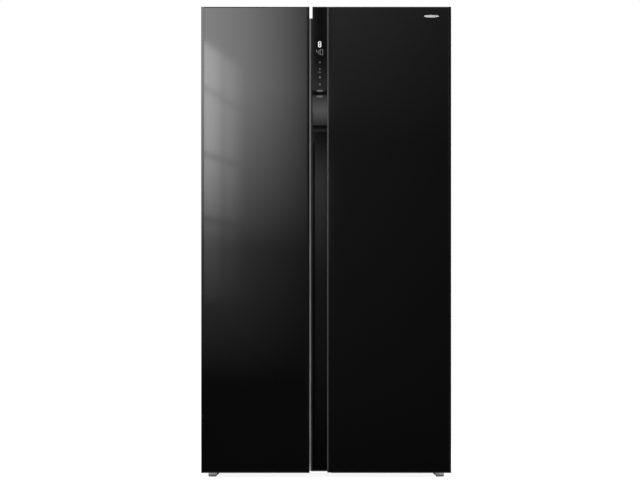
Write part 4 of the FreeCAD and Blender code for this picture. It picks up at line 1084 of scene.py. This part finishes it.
def back_screws():
    """Screws round the back panel, its cover, the control box and the hinge covers."""
    y = high("back_panel").y / MM + 0.2
    away = (0, 1, 0)
    places = [((side * 448, y, z), away) for side in (-1, 1) for z in (270, 560, 850, 1140, 1430, 1680)]
    places += [((x, y, 1686), away) for x in (-300, -100, 100, 300)]
    places += [((x, y, 236), away) for x in (-430, -180, 20, 150, 430)]
    places += [((x, y, 44), away) for x in (-430, 430)]
    box_y = high("control_box_cover").y / MM + 0.3
    places += [((x, box_y, z), away) for x in (100, 300) for z in (1430, 1590)]
    screws("back_screws", "cabinet", places)
    top = high("hinge_covers").z / MM + 0.2
    screws("hinge_cover_screws", "cabinet", [((side * 430, -205, top), (0, 0, 1)) for side in (-1, 1)], 3.0)


def rear_louvres():
    """Hoods above the air slots of the rear cover."""
    y = high("rear_cover").y / MM + 0.2
    levels = sorted({round(vertex.co.z / MM, 1) for vertex in NODES["rear_cover"].data.vertices
                     if abs(abs(vertex.co.x / MM + 12.5) - 272.5) < 115 and 40 < vertex.co.z / MM < 240})
    places = []
    for x in (-285, 260):
        for first, second in zip(levels, levels[1:]):
            if abs(second - first - 6) < 0.3:
                places.append(((x, y, second + 0.6), (0, 1, 0)))
    louvres("rear_louvres", "cabinet", places, 224, "zinc")


def inlet_pins():
    """The three flat pins in the mains inlet."""
    corner, far = low("mains_inlet") / MM, high("mains_inlet") / MM
    middle_x, middle_z = (corner.x + far.x) / 2, (corner.z + far.z) / 2
    meshes = []
    for x, z in ((-7, -2), (7, -2), (0, 3)):
        outline = [(middle_x + x - 1, middle_z + z - 2), (middle_x + x + 1, middle_z + z - 2),
                   (middle_x + x + 1, middle_z + z + 2), (middle_x + x - 1, middle_z + z + 2)]
        meshes.append(along("y", outline, corner.y + 3, far.y - 4, "pin"))
    joined("inlet_pins", "cabinet", meshes, "brass", 0.5)


EDGES = {
    "outer_shell": 1.0, "control_box_cover": 2.0, "wall_spacers": 1.2, "hinge_covers": 2.5,
    "freezer_shelves": 0.8, "fridge_shelves": 0.8, "led_lamps": 1.0, "evaporator_cover": 0.9,
    "air_duct_cover": 2.2, "ice_maker_frame": 0.7, "ice_bin": 0.9, "ice_tray": 0.5, "mains_inlet": 0.7,
    "fan_shroud": 0.6, "edge_trim": 0.35, "evaporation_tray": 0.8, "freezer_liner": 3.0, "fridge_liner": 3.0,
    "upper_hinges": 0.5, "lower_hinges": 0.5, "mullion_cover": 0.5, "compressor_grommets": 0.6,
    "freezer_drawer_upper": 1.0, "freezer_drawer_lower": 1.0, "fridge_drawer_upper": 1.0,
    "fridge_drawer_lower": 1.0,
}
for door_name in (FREEZER, FRIDGE):
    EDGES.update({f"{door_name}_door_glass": 0.7, f"{door_name}_door_profiles": 0.4,
                  f"{door_name}_door_caps": 0.8, f"{door_name}_door_liner": 6.0,
                  f"{door_name}_door_bins_lower": 0.9, f"{door_name}_door_bins_upper": 0.9})
for node_name, radius in EDGES.items():
    softened(node_name, radius, 4 if radius > 4 else 2)

display()
badge()
for door_name in (FREEZER, FRIDGE):
    gasket(door_name)
    bin_rims(door_name)
    shelf_trims(door_name)
    for drawer_level in ("upper", "lower"):
        drawer_fronts(door_name, drawer_level)
lamp_frames()
cold_coil()
back_beads()
back_screws()
rear_louvres()
inlet_pins()
fan_guard()

make_camera()
make_world()
make_floor()
make_lights()
reflections()
scene.view_settings.view_transform = "Standard"

bpy.context.view_layer.update()
